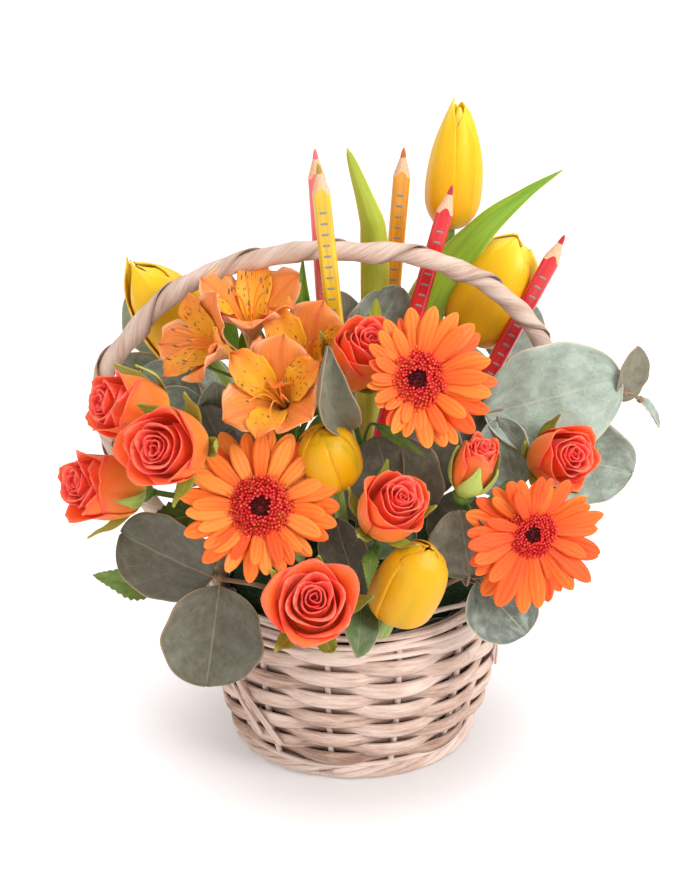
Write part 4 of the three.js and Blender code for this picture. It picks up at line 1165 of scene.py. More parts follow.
def floret_head(patterns, finishes, size, seed):
    """Three stages of florets packed in one spiral: buds, open florets and the fringe."""
    tree, given, values = node_tree(
        "florets", Bud=("Object", patterns[0]), Open_Floret=("Object", patterns[1]),
        Fringe=("Object", patterns[2]), Size=("Float", size), Seed=("Int", seed),
        Bud_Finish=("Material", finishes[0]), Open_Finish=("Material", finishes[1]),
        Fringe_Finish=("Material", finishes[2]))
    joined = tree.nodes.new("GeometryNodeJoinGeometry")
    index = index_of(tree)
    # Each stage: pattern, finish, count, first place in the spiral, spacing, and its heights and tilts at the
    # inner and the outer edge.
    stages = [
        ("Bud", "Bud Finish", 74, 0.5, 0.535, (3.6, 3.2), (0.0, 0.3)),
        ("Open Floret", "Open Finish", 214, 38, 0.745, (3.2, 2.2), (-0.1, 0.55)),
        ("Fringe", "Fringe Finish", 84, 176, 0.86, (2.2, 1.5), (0.6, 0.95)),
    ]
    for stage, (pattern, finish, count, first, gap, heights, tilts) in enumerate(stages):
        seeds = [given["Seed"] + float(10 * stage + k) for k in range(4)]
        edges = gap * math.sqrt(first), gap * math.sqrt(first + count)
        radius = (index + float(first)).worked("SQRT") * gap + chance(tree, -0.16, 0.16, seeds[0])
        angle = index * math.radians(GOLDEN_TURN)
        height = ramp_of(tree, radius, *edges, *heights) + chance(tree, -0.25, 0.25, seeds[1])
        spot = spot_of(tree, X=angle.worked("COSINE") * radius, Y=angle.worked("SINE") * radius, Z=height)
        for scale in (given["Size"], MM):
            spot = node(tree, "ShaderNodeVectorMath", {0: spot, "Scale": scale}, operation="SCALE").outputs[0]
        points = node(tree, "GeometryNodePoints", {"Count": count, "Position": spot}).outputs[0]
        lean = ramp_of(tree, radius, *edges, *tilts) + chance(tree, -0.22, 0.22, seeds[2])
        size_of = given["Size"] * chance(tree, 0.8, 1.2, seeds[3])
        copies = toned_copies(tree, points, object_in(tree, given[pattern]), spot_of(tree, Y=lean, Z=angle),
                              size_of, seeds[1])
        done = node(tree, "GeometryNodeSetMaterial", {"Geometry": copies, "Material": given[finish]})
        tree.links.new(done.outputs[0], joined.inputs[0])
    real = node(tree, "GeometryNodeRealizeInstances", {"Geometry": joined.outputs[0]})
    node(tree, "NodeGroupOutput", {0: real.outputs[0]})
    return grown("florets", tree, values)


def stand(mesh, centre, facing):
    """Turns a mesh made about its upward axis, in metres, to face one way at a place in mm."""
    moved = np.eye(4)
    moved[:3, :3] = axes_of(facing).T
    moved[:3, 3] = centre * MM
    mesh.transform(Matrix(moved))
    return mesh


def united(name, meshes):
    """Joins grown meshes and keeps each one's own finishes, in the order in which they are given."""
    whole = bmesh.new()
    finishes = []
    for one in meshes:
        first = len(finishes)
        before = len(whole.faces)
        whole.from_mesh(one)
        whole.faces.ensure_lookup_table()
        for face in whole.faces[before:]:
            face.material_index += first
        finishes += list(one.materials)
    mesh = bpy.data.meshes.new(name)
    whole.to_mesh(mesh)
    whole.free()
    return mesh, finishes


petal_kinds = pattern_set("ray_petal_kinds", [[ray_petal_pattern(kind)] for kind in range(RAY_KINDS)])
floret_kinds = [pattern_object(kind + "_floret", [floret_pattern(kind)])
                for kind in ("bud", "open", "fringe")]
gerbera_green = grained_finish(
    "gerbera_stem_green", 0.62, (2.4, 3, 0.6),
    [(0.3, (92, 122, 48)), (0.6, (132, 160, 74)), (0.8, (178, 194, 120))], (0.6, 0.0003), Sheen_Weight=0.5,
    Sheen_Roughness=0.5)
CUSHION = smooth_line([(0.6, -4.6), (7.4, -4.5), (8, -1), (11.2, 0.4), (10.8, 1.6), (5.6, 2.5), (2.5, 2.9),
                       (0.4, 3.1)], 4)
CUP = [(2.2, -13.4), (3.6, -12.2), (6.2, -9.4), (7.6, -5.2), (4, -4.8)]
BRACTS = 30

for name, head in GERBERAS.items():
    centre, facing, size = np.array(head["centre"], float), head["facing"], head["radius"] / RAY_LENGTH
    title = "gerbera_" + name
    petals = stand(ray_ring(petal_kinds, ray_petal, head), centre, facing)
    fit_in(petals, title + "_petals", [ray_petal], title + "_petals")

    florets = floret_head(floret_kinds, floret_finishes, size * head["disc"], head["seed"])
    base = meshed(title + "_cushion", [placed(skin(turned(CUSHION * size, 40)), centre, facing)])
    base.materials.append(floret_finishes[1])
    whole, finishes = united(title + "_centre", [stand(florets, centre, facing), base])
    fit_in(whole, title + "_centre", finishes, title + "_centre")

    out = unit(np.asarray(facing))
    line = smooth_line([centre - out * 9, centre - out * 13, centre - out * 19, *head["stem"]], 9)
    bits = [tube(line, np.linspace(2.7, 2.5, len(line)), 12, tone=0.3)]
    bits.append(placed(skin(turned(CUP, 40) * [size, size, 1], 0.5), centre, facing))
    random = np.random.default_rng(head["seed"])
    for k in range(BRACTS):
        low = k % 2
        bract = cup_petal(
            [(2.6, -12.8 + low), (6.2, -10.2 + low), (8.4, -6.4 + low), (9.6 + 1.2 * low, -3.9 + 0.8 * low)],
            [16, 14, 11, 2], k * 360 / BRACTS + random.uniform(-3, 3), (0.02, 2), rows=10, columns=5,
            thickness=0.5, tone=random.uniform(0, 1))
        bits.append(placed(bract, centre, facing))
    piece(title + "_stem", bits, [gerbera_green])
clear_away(petal_kinds, *floret_kinds)

# ---------------------------------------------------------------- tulips
# Three outer and three inner petals stand in a cup, golden yellow and lined lengthwise. Some heads are shut,
# two are opening. The thick stems are pale and smooth; one carries the long leaf that bends away to the
# right.

TULIPS = {
    "upper_right": {"base": (43.6, 38, 235), "tip": (48.7, 42, 294.5), "radius": 12.6, "turn": 70,
                    "mouth": 0.24, "full": 0.0, "stem": [(36, 32, 190), (24, 21, 112), (20, 17, 82)]},
    "right": {"base": (53.8, 30, 183.5), "tip": (77.5, 30, 234.5), "radius": 18.6, "turn": 20, "mouth": 0.3,
              "full": 0.55, "stem": [(44, 26, 150), (35, 24, 108), (30, 20, 84)]},
    "left": {"base": (-66, 25, 175.5), "tip": (-102.5, 25, 226), "radius": 17.5, "turn": 115, "mouth": 0.04,
             "full": 0.1, "point": 1.25, "fall": 0.32,
             "stem": [(-54, 22, 150), (-34, 14, 110), (-28, 11, 84)]},
    "middle": {"base": (-8, -59, 150), "tip": (-14, -66, 181), "radius": 13.4, "turn": 12, "mouth": 0.05,
               "full": 0.7, "fall": 0.07, "stem": [(-5, -52, 128), (-5, -40, 106), (-4, -31, 82)]},
    "low": {"base": (16.7, -76, 95), "tip": (32.5, -87, 135.5), "radius": 14.6, "turn": 100, "mouth": 0.16,
            "full": 0.8, "fall": 0.12, "stem": [(15, -66, 92), (13, -50, 88), (10, -36, 76)]},
}

tulip_petal, tree, shader, gold = petal_finish(
    "tulip_petal", [(0.0, (236, 164, 16)), (0.25, (250, 168, 4)), (0.7, (255, 192, 4)),
                    (1.0, (255, 212, 36))],
    [(0.0, (214, 186, 60)), (0.12, (250, 170, 4)), (0.5, (255, 194, 6)), (0.9, (255, 206, 16)),
     (1.0, (255, 224, 80))],
    roughness=0.4, streak=0.5, veins=1.7, bump=0.0003, glow=0.28)
margin = ramp_of(tree, abs(mark(tree, "across")), 0.5, 1.0, 0.0, 0.5)
edged = blend_of(tree, margin, gold, (250, 166, 4))
deeper = ramp_of(tree, mark(tree, "tone"), 0.0, 0.5, 0.85, 0.0)
tree.links.new(blend_of(tree, deeper, edged, (210, 152, 2)), shader.inputs["Base Color"])

tulip_green = grained_finish(
    "tulip_stem_green", 0.42, (0.8, 3), [(0.3, (112, 142, 60)), (0.55, (148, 172, 84)),
                                         (0.8, (186, 200, 122))],
    (0.4, 0.0003), Subsurface_Weight=0.1, Subsurface_Scale=0.001)


def strap_finish(name, dark, middle, light, edge):
    """A long leaf with straight veins from foot to tip and pale margins."""
    made, tree, shader = new_finish(name, 0.38, Specular_IOR_Level=0.4, Subsurface_Weight=0.15,
                                    Subsurface_Scale=0.0015)
    across = mark(tree, "across")
    thin = ramp_of(tree, (across * 9.0).worked("PINGPONG", 0.5), 0.0, 0.3, 0.3, 0.0)
    vary = speckle(tree, 0.5, 3, 0.6)
    place = vary * 0.5 + (1.0 - mark(tree, "along")) * 0.45
    colour = shades(tree, place, (0.25, dark), (0.5, middle), (0.8, light))
    colour = blend_of(tree, thin, colour, light)
    colour = blend_of(tree, ramp_of(tree, abs(across), 0.88, 1.0, 0.0, 0.8), colour, edge)
    tree.links.new(colour, shader.inputs["Base Color"])
    raised(tree, shader, thin + vary, 0.4, 0.0004)
    return made


tulip_leaf_green = strap_finish("tulip_leaf_green", (104, 152, 32), (148, 186, 44), (198, 214, 90),
                                (214, 224, 130))
tulip_leaf_pale = strap_finish("tulip_leaf_pale", (150, 166, 44), (184, 194, 60), (218, 218, 110),
                               (234, 230, 150))


def strap(line, width, taper, lean=0.0, fold=0.35, finish=1, twist=0.0, thickness=1.0):
    """A long strap leaf along a line of places, folded a little along its middle."""
    way = smooth_line(line, 14)
    run = run_of(way)
    a = np.linspace(0, 1, 60)[:, None]
    centre = read_at(a * run[-1], run, way)
    forth = unit(np.gradient(centre, axis=0))
    side = unit(np.cross([0, -1, 0], forth))
    half = width / 2 * np.minimum(np.minimum(0.45 + 2.2 * a, 1), 0.02 + 2.2 * (1 - a) ** taper)
    half = half * (1 + 0.03 * np.sin(a * 19) + 0.02 * np.sin(a * 41))
    v = np.linspace(1, -1, 15)
    turn = lean + twist * a
    bend = fold * half * np.abs(v) ** 1.4 + 0.5 * np.sin(a * 23 + 2) * v ** 2
    across = half * v * np.cos(turn) - bend * np.sin(turn)
    lift = half * v * np.sin(turn) + bend * np.cos(turn)
    grid = centre + side * across[..., None] - np.cross(forth, side) * lift[..., None]
    return plait(grid, thickness, finish, tone=0.5, edge=0.4)


for name, head in TULIPS.items():
    base, tip = np.array(head["base"], float), np.array(head["tip"], float)
    long = np.linalg.norm(tip - base)
    facing = (tip - base) / long
    radius, mouth, full = head["radius"], head["mouth"], head["full"]
    lip = head.get("fall", 0.16 + 0.06 * full), head.get("point", 2.2)
    random = np.random.default_rng(int(long * 10))
    shade = (0.0, 0.3) if name in ("middle", "low") else (0.5, 1.0)  # the two in front are the deeper ones
    bits = []
    for ring, wide in ((0, 1.0), (1, 0.92)):
        for k in range(3):
            tall = long * random.uniform(0.93, 1.0) * (0.97 if ring else 1.0)
            spread = mouth * random.uniform(0.8, 1.2)
            outline = [
                (2.0, 0.0), (radius * 0.56 * wide, long * 0.035), (radius * 0.93 * wide, tall * 0.17),
                (radius * wide, tall * 0.36), (radius * (0.88 + 0.1 * full) * wide, tall * 0.6),
                (radius * (0.52 + 0.24 * full + 0.2 * spread) * wide, tall * 0.83),
                (radius * spread * wide, tall * (1 - 0.04 * full)),
            ]
            bits.append(cup_petal(
                outline, [72, 76, 76, 74, 70, 62 + 8 * full, 44],
                head["turn"] + k * 120 + ring * 60 + random.uniform(-6, 6), lip, rows=26, columns=21,
                slant=0.05, wave=0.3, wave_turn=random.uniform(0, 6), thickness=0.9,
                tone=random.uniform(*shade), keel=-0.7, roll=-radius * 0.1 * (1 - mouth), roll_from=0.8))
    heart = [(1.5, 0.4), (3.4, 1.2), (3.2, 6), (1.8, long * 0.3), (0.8, long * 0.32)]
    bits.append(skin(turned(heart, 16), 0.4))
    for one in bits:
        placed(one, base, facing)
    piece(f"tulip_{name}_head", bits, [tulip_petal])

    line = smooth_line([base + facing * 1.0, base - facing * 10, *head["stem"]], 9)
    bits = [tube(line, np.linspace(2.9, 3.0, len(line)), 14, tone=0.3)]
    if name == "upper_right":
        bits.append(strap([(22, 20.5, 120), (27, 24, 165), (33, 27, 202), (57, 26, 237), (76, 26, 254),
                           (93.7, 26, 266)], 19, 0.95, lean=0.15, fold=0.3, twist=0.35))
    piece(f"tulip_{name}_stem", bits, [tulip_green, tulip_leaf_green])

bits = [strap([(8, 16, 90), (8, 18, 130), (8, 18, 170), (9.8, 17, 208), (9.4, 15, 238), (7, 14, 250),
               (-2.8, 14, 279.5)], 12.5, 0.6, lean=-0.1, fold=0.5, finish=0, thickness=1.2)]
piece("tulip_leaf_upright", bits, [tulip_leaf_pale])

# ---------------------------------------------------------------- alstroemeria
# Each bloom is a short funnel of three broad peach tepals and three narrower golden ones with dark dashes,
# round six curved stamens. They share one cut stem with lance-shaped leaves.

BLOOMS = {
    "front": {"throat": (-31.5, -51, 186), "facing": (-0.20, -0.74, 0.64), "radius": 25.5, "turn": 96,
              "close": 0.4},
    "right": {"throat": (-21, -28, 193), "facing": (-0.16, -0.62, 0.76), "radius": 25.5, "turn": 84,
              "close": 0.38},
    "back": {"throat": (-45, -15, 207), "facing": (0.0, -0.24, 0.97), "radius": 25, "turn": 30,
             "close": 0.42},
    "left": {"throat": (-58.5, -33, 203), "facing": (-0.74, -0.46, 0.49), "radius": 22, "turn": 80,
             "close": 0.3},
}

tepal_look = {"streak": 0.3, "veins": 1.8, "bump": 0.0003, "glow": 0.3}
outer_tepal, tree, shader, peach = petal_finish(
    "alstroemeria_outer_tepal",
    [(0.0, (206, 170, 64)), (0.3, (252, 172, 60)), (0.7, (248, 154, 62)), (1.0, (248, 144, 72))],
    [(0.0, (190, 180, 84)), (0.4, (244, 168, 96)), (1.0, (236, 134, 80))], **tepal_look)
across, along = mark(tree, "across"), mark(tree, "along")
middle = ramp_of(tree, abs(across), 0.0, 0.16, 0.55, 0.0) * ramp_of(tree, along, 0.3, 0.95, 0.2, 1.0)
peach = blend_of(tree, middle, peach, (214, 96, 52))
peach = blend_of(tree, ramp_of(tree, abs(across), 0.55, 1.0, 0.0, 0.5), peach, (255, 204, 162))
lines = (across * 6.5 + speckle(tree, 0.5, 2) * 0.9).worked("PINGPONG", 0.5)
peach = blend_of(tree, ramp_of(tree, lines, 0.0, 0.2, 0.5, 0.0), peach, (228, 98, 50))
tree.links.new(peach, shader.inputs["Base Color"])

inner_tepal, tree, shader, golden = petal_finish(
    "alstroemeria_inner_tepal",
    [(0.0, (232, 140, 26)), (0.35, (254, 194, 42)), (0.65, (252, 178, 46)), (1.0, (242, 126, 48))],
    [(0.0, (226, 180, 70)), (0.5, (252, 188, 86)), (1.0, (244, 150, 84))], **tepal_look)
across, along = mark(tree, "across"), mark(tree, "along")
spread = spot_of(tree, X=across * 3.4, Y=along * 4.6, Z=mark(tree, "tone") * 31.0)
cells = node(tree, "ShaderNodeTexVoronoi", {"Vector": spread, "Scale": 2.2, "Randomness": 0.8})
dashes = ramp_of(tree, cells.outputs["Distance"], 0.17, 0.28, 1.0, 0.0)
dashes = dashes * ramp_of(tree, abs(along - 0.55), 0.22, 0.34, 1.0, 0.0)
tree.links.new(blend_of(tree, dashes, golden, (112, 16, 6)), shader.inputs["Base Color"])

filament, tree, shader = new_finish("alstroemeria_filament", 0.45, Subsurface_Weight=0.1,
                                    Subsurface_Scale=0.001)
vary = mark(tree, "along") + speckle(tree, 2.0) * 0.3
tree.links.new(shades(tree, vary, (0.1, (255, 206, 96)), (0.6, (255, 172, 76)), (1.0, (250, 140, 62))),
               shader.inputs["Base Color"])
anther, tree, shader = new_finish("alstroemeria_anther", 0.8)
tree.links.new(shades(tree, speckle(tree, 3.0), (0.3, (96, 66, 40)), (0.7, (164, 128, 78))),
               shader.inputs["Base Color"])
raised(tree, shader, speckle(tree, 4.0, 2), 0.6, 0.0003)


# Of the outer and the inner tepals: width and length to the radius, how late they swell, and how hollow they
# are.
TEPALS = [(0.52, 1.0, 1.5, 0.42), (0.32, 1.06, 1.2, 0.62)]


def tepal(kind, radius, turn, random, close):
    """A petal that leaves the throat narrow, widens like a spoon and bends outward. kind is 0 for an outer
    one and 1 for an inner one."""
    broad, share, late, hollow = TEPALS[kind]
    u = np.linspace(0, 1, 24)[:, None]
    long = radius * random.uniform(0.97, 1.08) * share
    reach, up = long * (1 - 0.30 * close), long * close
    line = smooth_line([(1.6, -13.5), (2.8, -7), (reach * 0.28, 0.5 + 0.12 * up),
                        (reach * 0.60, 6.8 + 0.3 * up), (reach * 0.88, 10.4 + 0.48 * up),
                        (reach * 1.08, 10.0 + 3.0 * random.uniform(-0.5, 1) + 0.55 * up)], 8)
    run = run_of(line)
    out, high = (np.interp(u * run[-1], run, of) for of in line.T)
    swell = np.clip((u - 0.22) / 0.78, 0, 1)
    half = radius * (0.06 + (broad - 0.06) * np.sin(np.pi * swell ** late) ** 0.75)
    half = half * np.clip((1.03 - u) * 9, 0.12, 1) * (1 + 0.05 * np.sin(u * 31 + random.uniform(0, 6)) * u)
    v = np.linspace(-1, 1, 17)
    cup = hollow * half * v ** 2 * (1 - 0.6 * u)
    frill = 0.07 * np.sin(u * 21 + random.uniform(0, 6) + v * 2) * v ** 2
    frill = frill + 0.03 * np.sin(u * 43 + random.uniform(0, 6)) * np.abs(v) ** 3
    frill = (frill + 0.018 * np.sin(u * 9 + v * 7 + random.uniform(0, 6))) * radius * u
    keel = -0.25 * np.exp(-(v / 0.12) ** 2) * np.sin(np.pi * u)
    twist = random.uniform(-0.12, 0.12) * u * v * half
    inward, side, way = out - 0.35 * cup, half * v, math.radians(turn)
    grid = np.stack([inward * math.cos(way) - side * math.sin(way),
                     inward * math.sin(way) + side * math.cos(way), high + cup + frill + keel + twist], -1)
    return plait(grid, 0.55, kind, tone=random.uniform(0, 1), edge=0.4)


for name, bloom in BLOOMS.items():
    throat, facing, radius = bloom["throat"], bloom["facing"], bloom["radius"]
    random = np.random.default_rng(50 + len(name) * 3)
    bits = []
    for k in range(3):
        for kind in (0, 1):
            turn = bloom["turn"] + 60 * kind + k * 120 + random.uniform(-9, 9)
            bits.append(tepal(kind, radius, turn, random, bloom["close"] + 0.15 * kind))
    for k in range(6):
        way = math.radians(bloom["turn"] + 20 + k * 55)
        reach = radius * random.uniform(0.25, 0.5)
        tall = radius * random.uniform(0.72, 0.98)
        ends = smooth_line([round_at(0.6, way, -8), round_at(1.6, way, 2),
                            round_at(reach * 0.45, way, tall * 0.66),
                            round_at(reach, way, tall) - [0, 2.5, 0]], 7)
        bits.append(tube(ends, np.linspace(0.46, 0.32, len(ends)), 7, finish=2))
        tip = ends[-1] + (ends[-1] - ends[-2]) * 0.3
        bits.append(tube([tip - (0, 0, 1.5), tip - (0, 0, 1), tip, tip + (0, 0, 1), tip + (0, 0, 1.5)],
                         [0.2, 0.42, 0.5, 0.42, 0.2], 8, finish=3))
    for one in bits:
        placed(one, throat, facing)
    piece("alstroemeria_" + name, bits, [outer_tepal, inner_tepal, filament, anther])

lance_leaf = leaf_finish(
    "lance_leaf", [(0.3, (70, 118, 30)), (0.7, (116, 160, 48)), (0.95, (168, 196, 84))],
    [(0.3, (124, 158, 62)), (0.8, (170, 192, 98))], (178, 204, 96), (150, 180, 70), side_veins=3.0,
    vein_strength=0.1)
stem = [(-14, -6, 82), (-17, -8, 110), (-26, -14, 150)]
shoots = {"front": (-25, -26, 164), "right": (-20, -18, 166), "back": (-38, -12, 180),
          "left": (-40, -22, 186)}
bits = [tube(smooth_line(stem, 8), 2.0, 10, tone=0.3)]
for name, bloom in BLOOMS.items():
    out, throat = unit(np.array(bloom["facing"])), np.array(bloom["throat"], float)
    bits.append(stalk([stem[-1], shoots[name], throat - out * 20, throat - out * 14.5], 1.25))
    swollen = smooth_line([(1.2, -18), (1.9, -16), (2.3, -14), (2.0, -12.6), (0.8, -12.2)], 4)
    bits.append(placed(skin(turned(swollen, 12), 0.6), throat, out))
knots = stem + list(shoots.values())
for base, tip, facing, width, bend in (
    ((-24, -2, 176), (-22.5, 8, 232), (0, -1, 0.1), 11, (-25, -8, 160)),
    ((-52, 4, 186), (-67, 13, 224.5), (0, -0.8, 0.6), 8, (-40, -4, 170)),
    ((-62, -24, 190), (-84, -20, 205), (0, -0.6, 0.8), 7, (-46, -18, 182)),
    ((-20, -12, 146), (-2, -22, 180), (0.2, -0.9, 0.4), 14, (-18, -10, 130)),
    ((-26, -14, 150), (-54, -22, 172), (-0.2, -0.9, 0.4), 16, (-24, -12, 144)),
    ((-26, -12, 158), (-44, -8, 196), (-0.1, -0.9, 0.3), 15, (-25, -13, 150)),
    ((-22, -10, 160), (-8, -6, 196), (0.1, -0.95, 0.3), 14, (-24, -13, 150)),
    ((-20, -14, 130), (-44, -26, 160), (-0.1, -0.9, 0.4), 15, (-17, -8, 112)),
    ((-36, -9, 180), (-25, -4, 214), (0, -0.95, 0.3), 16, (-30, -12, 168)),
    ((-43, -10, 180), (-46, -2, 212), (-0.1, -0.95, 0.3), 14, (-40, -10, 172)),
    ((-32, -13, 172), (-12, -10, 205), (0.1, -0.95, 0.3), 15, (-28, -13, 160)),
):
    bits += leaf_on_stalk(knots, base, tip, facing, width, bend, 0.2, 0.8, 0.6, tone=0.5, point=1.0, cup=0.25,
                          droop=0.04, finish=1, wave=0.3, thickness=0.6)
piece("alstroemeria_spray", bits, [stem_green, lance_leaf])

# ---------------------------------------------------------------- pencils
# Five wooden colouring pencils of rounded triangular section. The lacquer ends in scallops where the
# sharpener has cut the flats lower than the corners, then comes bare wood and a coloured lead. Small soft
# bars for grip lie across each flat.

PENCILS = {
    "coral": {"tip": (-16.9, 12.5, 279.4), "foot": (-7, 16, 100), "paint": (244, 104, 104),
              "lead": (244, 110, 118)},
    "yellow": {"tip": (-15.1, -18.5, 281.8), "foot": (1.9, -10, 104), "paint": (232, 190, 34),
               "lead": (176, 146, 24)},
    "orange": {"tip": (22.7, 33, 274.2), "foot": (10, 31, 98), "paint": (240, 160, 28),
               "lead": (204, 104, 12)},
    "red": {"tip": (44, 16.5, 261.8), "foot": (-2.2, 2, 90), "paint": (222, 36, 42), "lead": (196, 26, 34)},
    "red_right": {"tip": (94.7, 16.5, 238.6), "foot": (18, 3, 88), "paint": (222, 36, 42),
                  "lead": (196, 26, 34)},
}
PENCIL_LENGTH = 175.0
CORNER, FLAT = 4.05, 3.15  # from the middle of the section
CONE, LEAD = 13.4, 4.4  # lengths of the sharpened end and of its bare lead
BARS, BAR_PITCH = 15, 5.0
BARS_BELOW = 8  # from the sharpened end down to the nearest bar


def lacquer(name, colour):
    low = tuple(int(c * 0.86) for c in colour)
    high = tuple(min(255, int(c * 1.05 + 4)) for c in colour)
    return grained_finish("lacquer_" + name, 0.28, (0.7, 3), [(0.3, low), (0.6, colour), (0.85, high)],
                          (0.25, 0.0001), Coat_Weight=0.5, Coat_Roughness=0.12)


cedar = grained_finish(
    "bare_pencil_wood", 0.75, (1.3, 4, 0.6, (2.2, 2.2, 0.22)),
    [(0.3, (196, 142, 104)), (0.5, (226, 180, 142)), (0.75, (240, 206, 176))], (0.5, 0.0002))
grip_rubber, tree, shader = new_finish("grip_rubber", 0.7)
tree.links.new(shades(tree, speckle(tree, 2.0), (0.3, (120, 116, 112)), (0.7, (160, 156, 150))),
               shader.inputs["Base Color"])
raised(tree, shader, speckle(tree, 5.0, 2), 0.5, 0.0001)


def section(way):
    """Distance from the middle to the outside of a rounded triangle, by direction."""
    near = np.mod(way + math.pi / 3, 2 * math.pi / 3) - math.pi / 3
    straight = FLAT / np.cos(math.pi / 3 - np.abs(near))
    return CORNER - np.log1p(np.exp((CORNER - straight) * 8)) / 8


def grip_bars(bar, finish, rows, pitch, start, reach):
    """Rows of bars across the three flats of a pencil that stands on the origin."""
    tree, given, values = node_tree(
        "grip_bars", Bar=("Object", bar), Rows=("Int", rows), Pitch=("Float", pitch * MM),
        Start=("Float", start * MM), Reach=("Float", reach * MM), Finish=("Material", finish))
    index = index_of(tree)
    face = ((index + 0.1) / given["Rows"]).worked("FLOOR")
    row = index - face * given["Rows"]
    angle = face * (2 * math.pi / 3) + math.pi / 3
    spot = spot_of(tree, X=angle.worked("COSINE") * given["Reach"], Y=angle.worked("SINE") * given["Reach"],
                   Z=row * given["Pitch"] + given["Start"])
    points = node(tree, "GeometryNodePoints", {"Count": given["Rows"] * 3.0, "Position": spot}).outputs[0]
    bars = copied(tree, points, object_in(tree, given["Bar"]), Rotation=spot_of(tree, Z=angle))
    end_with(tree, bars, given["Finish"])
    return grown("grip_bars", tree, values)


soft_bar = [(-0.5, 1.3), (-0.2, 1.6), (0.2, 1.6), (0.5, 1.3), (0.5, -1.3), (0.2, -1.6), (-0.2, -1.6),
            (-0.5, -1.3)]
bar_rings = [[(x, y * w, z * w) for z, y in soft_bar] for x, w in ((-0.5, 1.0), (0.05, 1.0), (0.22, 0.7))]
grip_bar = pattern_object("grip_bar", [skin(bar_rings)])
SIDES = 48  # steps round the section
way = np.arange(SIDES) * 2 * math.pi / SIDES
body_reach = section(way)
slope = 4.1 / CONE
cut_height = PENCIL_LENGTH - body_reach / slope  # where the sharpened cone meets each side of the body

# The levels of a pencil from its foot to its tip: reach, height and finish, which is 0 lacquer, 1 wood or 2
# lead.
levels = [(body_reach * 0.9, 0 * way, 0)]
for share in (0.004, 0.02, 0.25, 0.5, 0.75, 1.0):
    levels.append((body_reach, share * (cut_height - 0.3), 0))
levels.append((body_reach * 0.985, cut_height, 0))
for share in (0.02, 0.2, 0.45, 0.7, 1.0):
    high = cut_height + share * (PENCIL_LENGTH - LEAD - cut_height)
    levels.append(((PENCIL_LENGTH - high) * slope * 0.98, high, 1))
for below, reach in ((LEAD - 0.1, 1.4), (2.9, 1.15), (1.6, 0.9), (0.7, 0.62), (0.2, 0.36), (0, 0.1)):
    levels.append((reach, PENCIL_LENGTH - below, 2))
finish_of_row = [finish for _, _, finish in levels[1:]]
for name, pencil in PENCILS.items():
    finishes = [lacquer(name, pencil["paint"]), cedar, lacquer(name + "_lead", pencil["lead"])]
    body = skin([round_at(reach, way, high) for reach, high, _ in levels])
    body["grain"] = body["places"] * [1, 1, GRAIN_STRETCH] + [len(name) * 9, 0, 0]
    body_mesh = meshed(f"pencil_{name}_body", [body])
    chosen = np.repeat([*finish_of_row, 0, 2], SIDES)  # the rows of the side, then the foot and the tip
    body_mesh.polygons.foreach_set("material_index", chosen)
    for finish in finishes:
        body_mesh.materials.append(finish)
    lowest = PENCIL_LENGTH - CONE - BARS_BELOW - (BARS - 1) * BAR_PITCH
    bars = grip_bars(grip_bar, grip_rubber, BARS, BAR_PITCH, lowest, FLAT - 0.02)
    direction = (Vector(pencil["tip"]) - Vector(pencil["foot"])).normalized()
    start = Vector(pencil["tip"]) - direction * PENCIL_LENGTH
    turn = Vector((0, 0, 1)).rotation_difference(direction) @ Quaternion((0, 0, 1), math.pi / 2)
    mesh, joined_finishes = united(f"pencil_{name}", [body_mesh, bars])
    mesh.transform(Matrix.Translation(start * MM) @ turn.to_matrix().to_4x4())
    mesh.set_sharp_from_angle(angle=math.radians(32))
    fit_in(mesh, f"pencil_{name}", joined_finishes, f"pencil_{name}")
clear_away(grip_bar)

# ---------------------------------------------------------------- eucalyptus
# Round silver-dollar leaves on thin tan twigs: a dull green face under a whitish bloom, a pale middle rib
# with fine side veins, and a thin reddish-cream margin. Some leaves, many of them low in the basket, are
# darker and browner.

silver_leaf = leaf_finish(
    "silver_leaf", [(0.2, (86, 92, 84)), (0.45, (112, 122, 110)), (0.75, (142, 156, 142)),
                    (1.0, (166, 182, 168))],
    [(0.2, (96, 100, 92)), (0.6, (126, 134, 124)), (1.0, (158, 168, 156))], (178, 184, 162), (206, 192, 164),
    rib_share=0.035, vein_strength=0.22, roughness=0.5, bloom=(190, 204, 192), bloom_share=0.38,
    side_veins=7.0)
dusky_leaf = leaf_finish(
    "dusky_leaf", [(0.2, (48, 48, 38)), (0.5, (74, 72, 58)), (0.8, (98, 95, 78)), (1.0, (126, 122, 102))],
    [(0.2, (60, 60, 48)), (0.6, (90, 90, 76)), (1.0, (122, 122, 106))], (136, 134, 108), (164, 136, 108),
    rib_share=0.035, vein_strength=0.2, roughness=0.46, bloom=(118, 120, 106), bloom_share=0.3,
    side_veins=7.0)
fresh_leaf = leaf_finish(
    "fresh_leaf", [(0.2, (62, 86, 48)), (0.5, (84, 108, 66)), (0.8, (108, 128, 88)), (1.0, (136, 154, 116))],
    [(0.2, (92, 110, 80)), (0.6, (120, 136, 106)), (1.0, (150, 164, 138))], (146, 160, 118), (176, 158, 120),
    rib_share=0.035, vein_strength=0.2, roughness=0.46, bloom=(150, 166, 148), bloom_share=0.3,
    side_veins=7.0)
twig_bark = grained_finish(
    "eucalyptus_twig", 0.65, (1.4, 3), [(0.3, (112, 84, 62)), (0.55, (150, 118, 90)), (0.8, (186, 162, 132))],
    (0.5, 0.0002))

SILVER, DUSKY, FRESH = 1, 2, 3

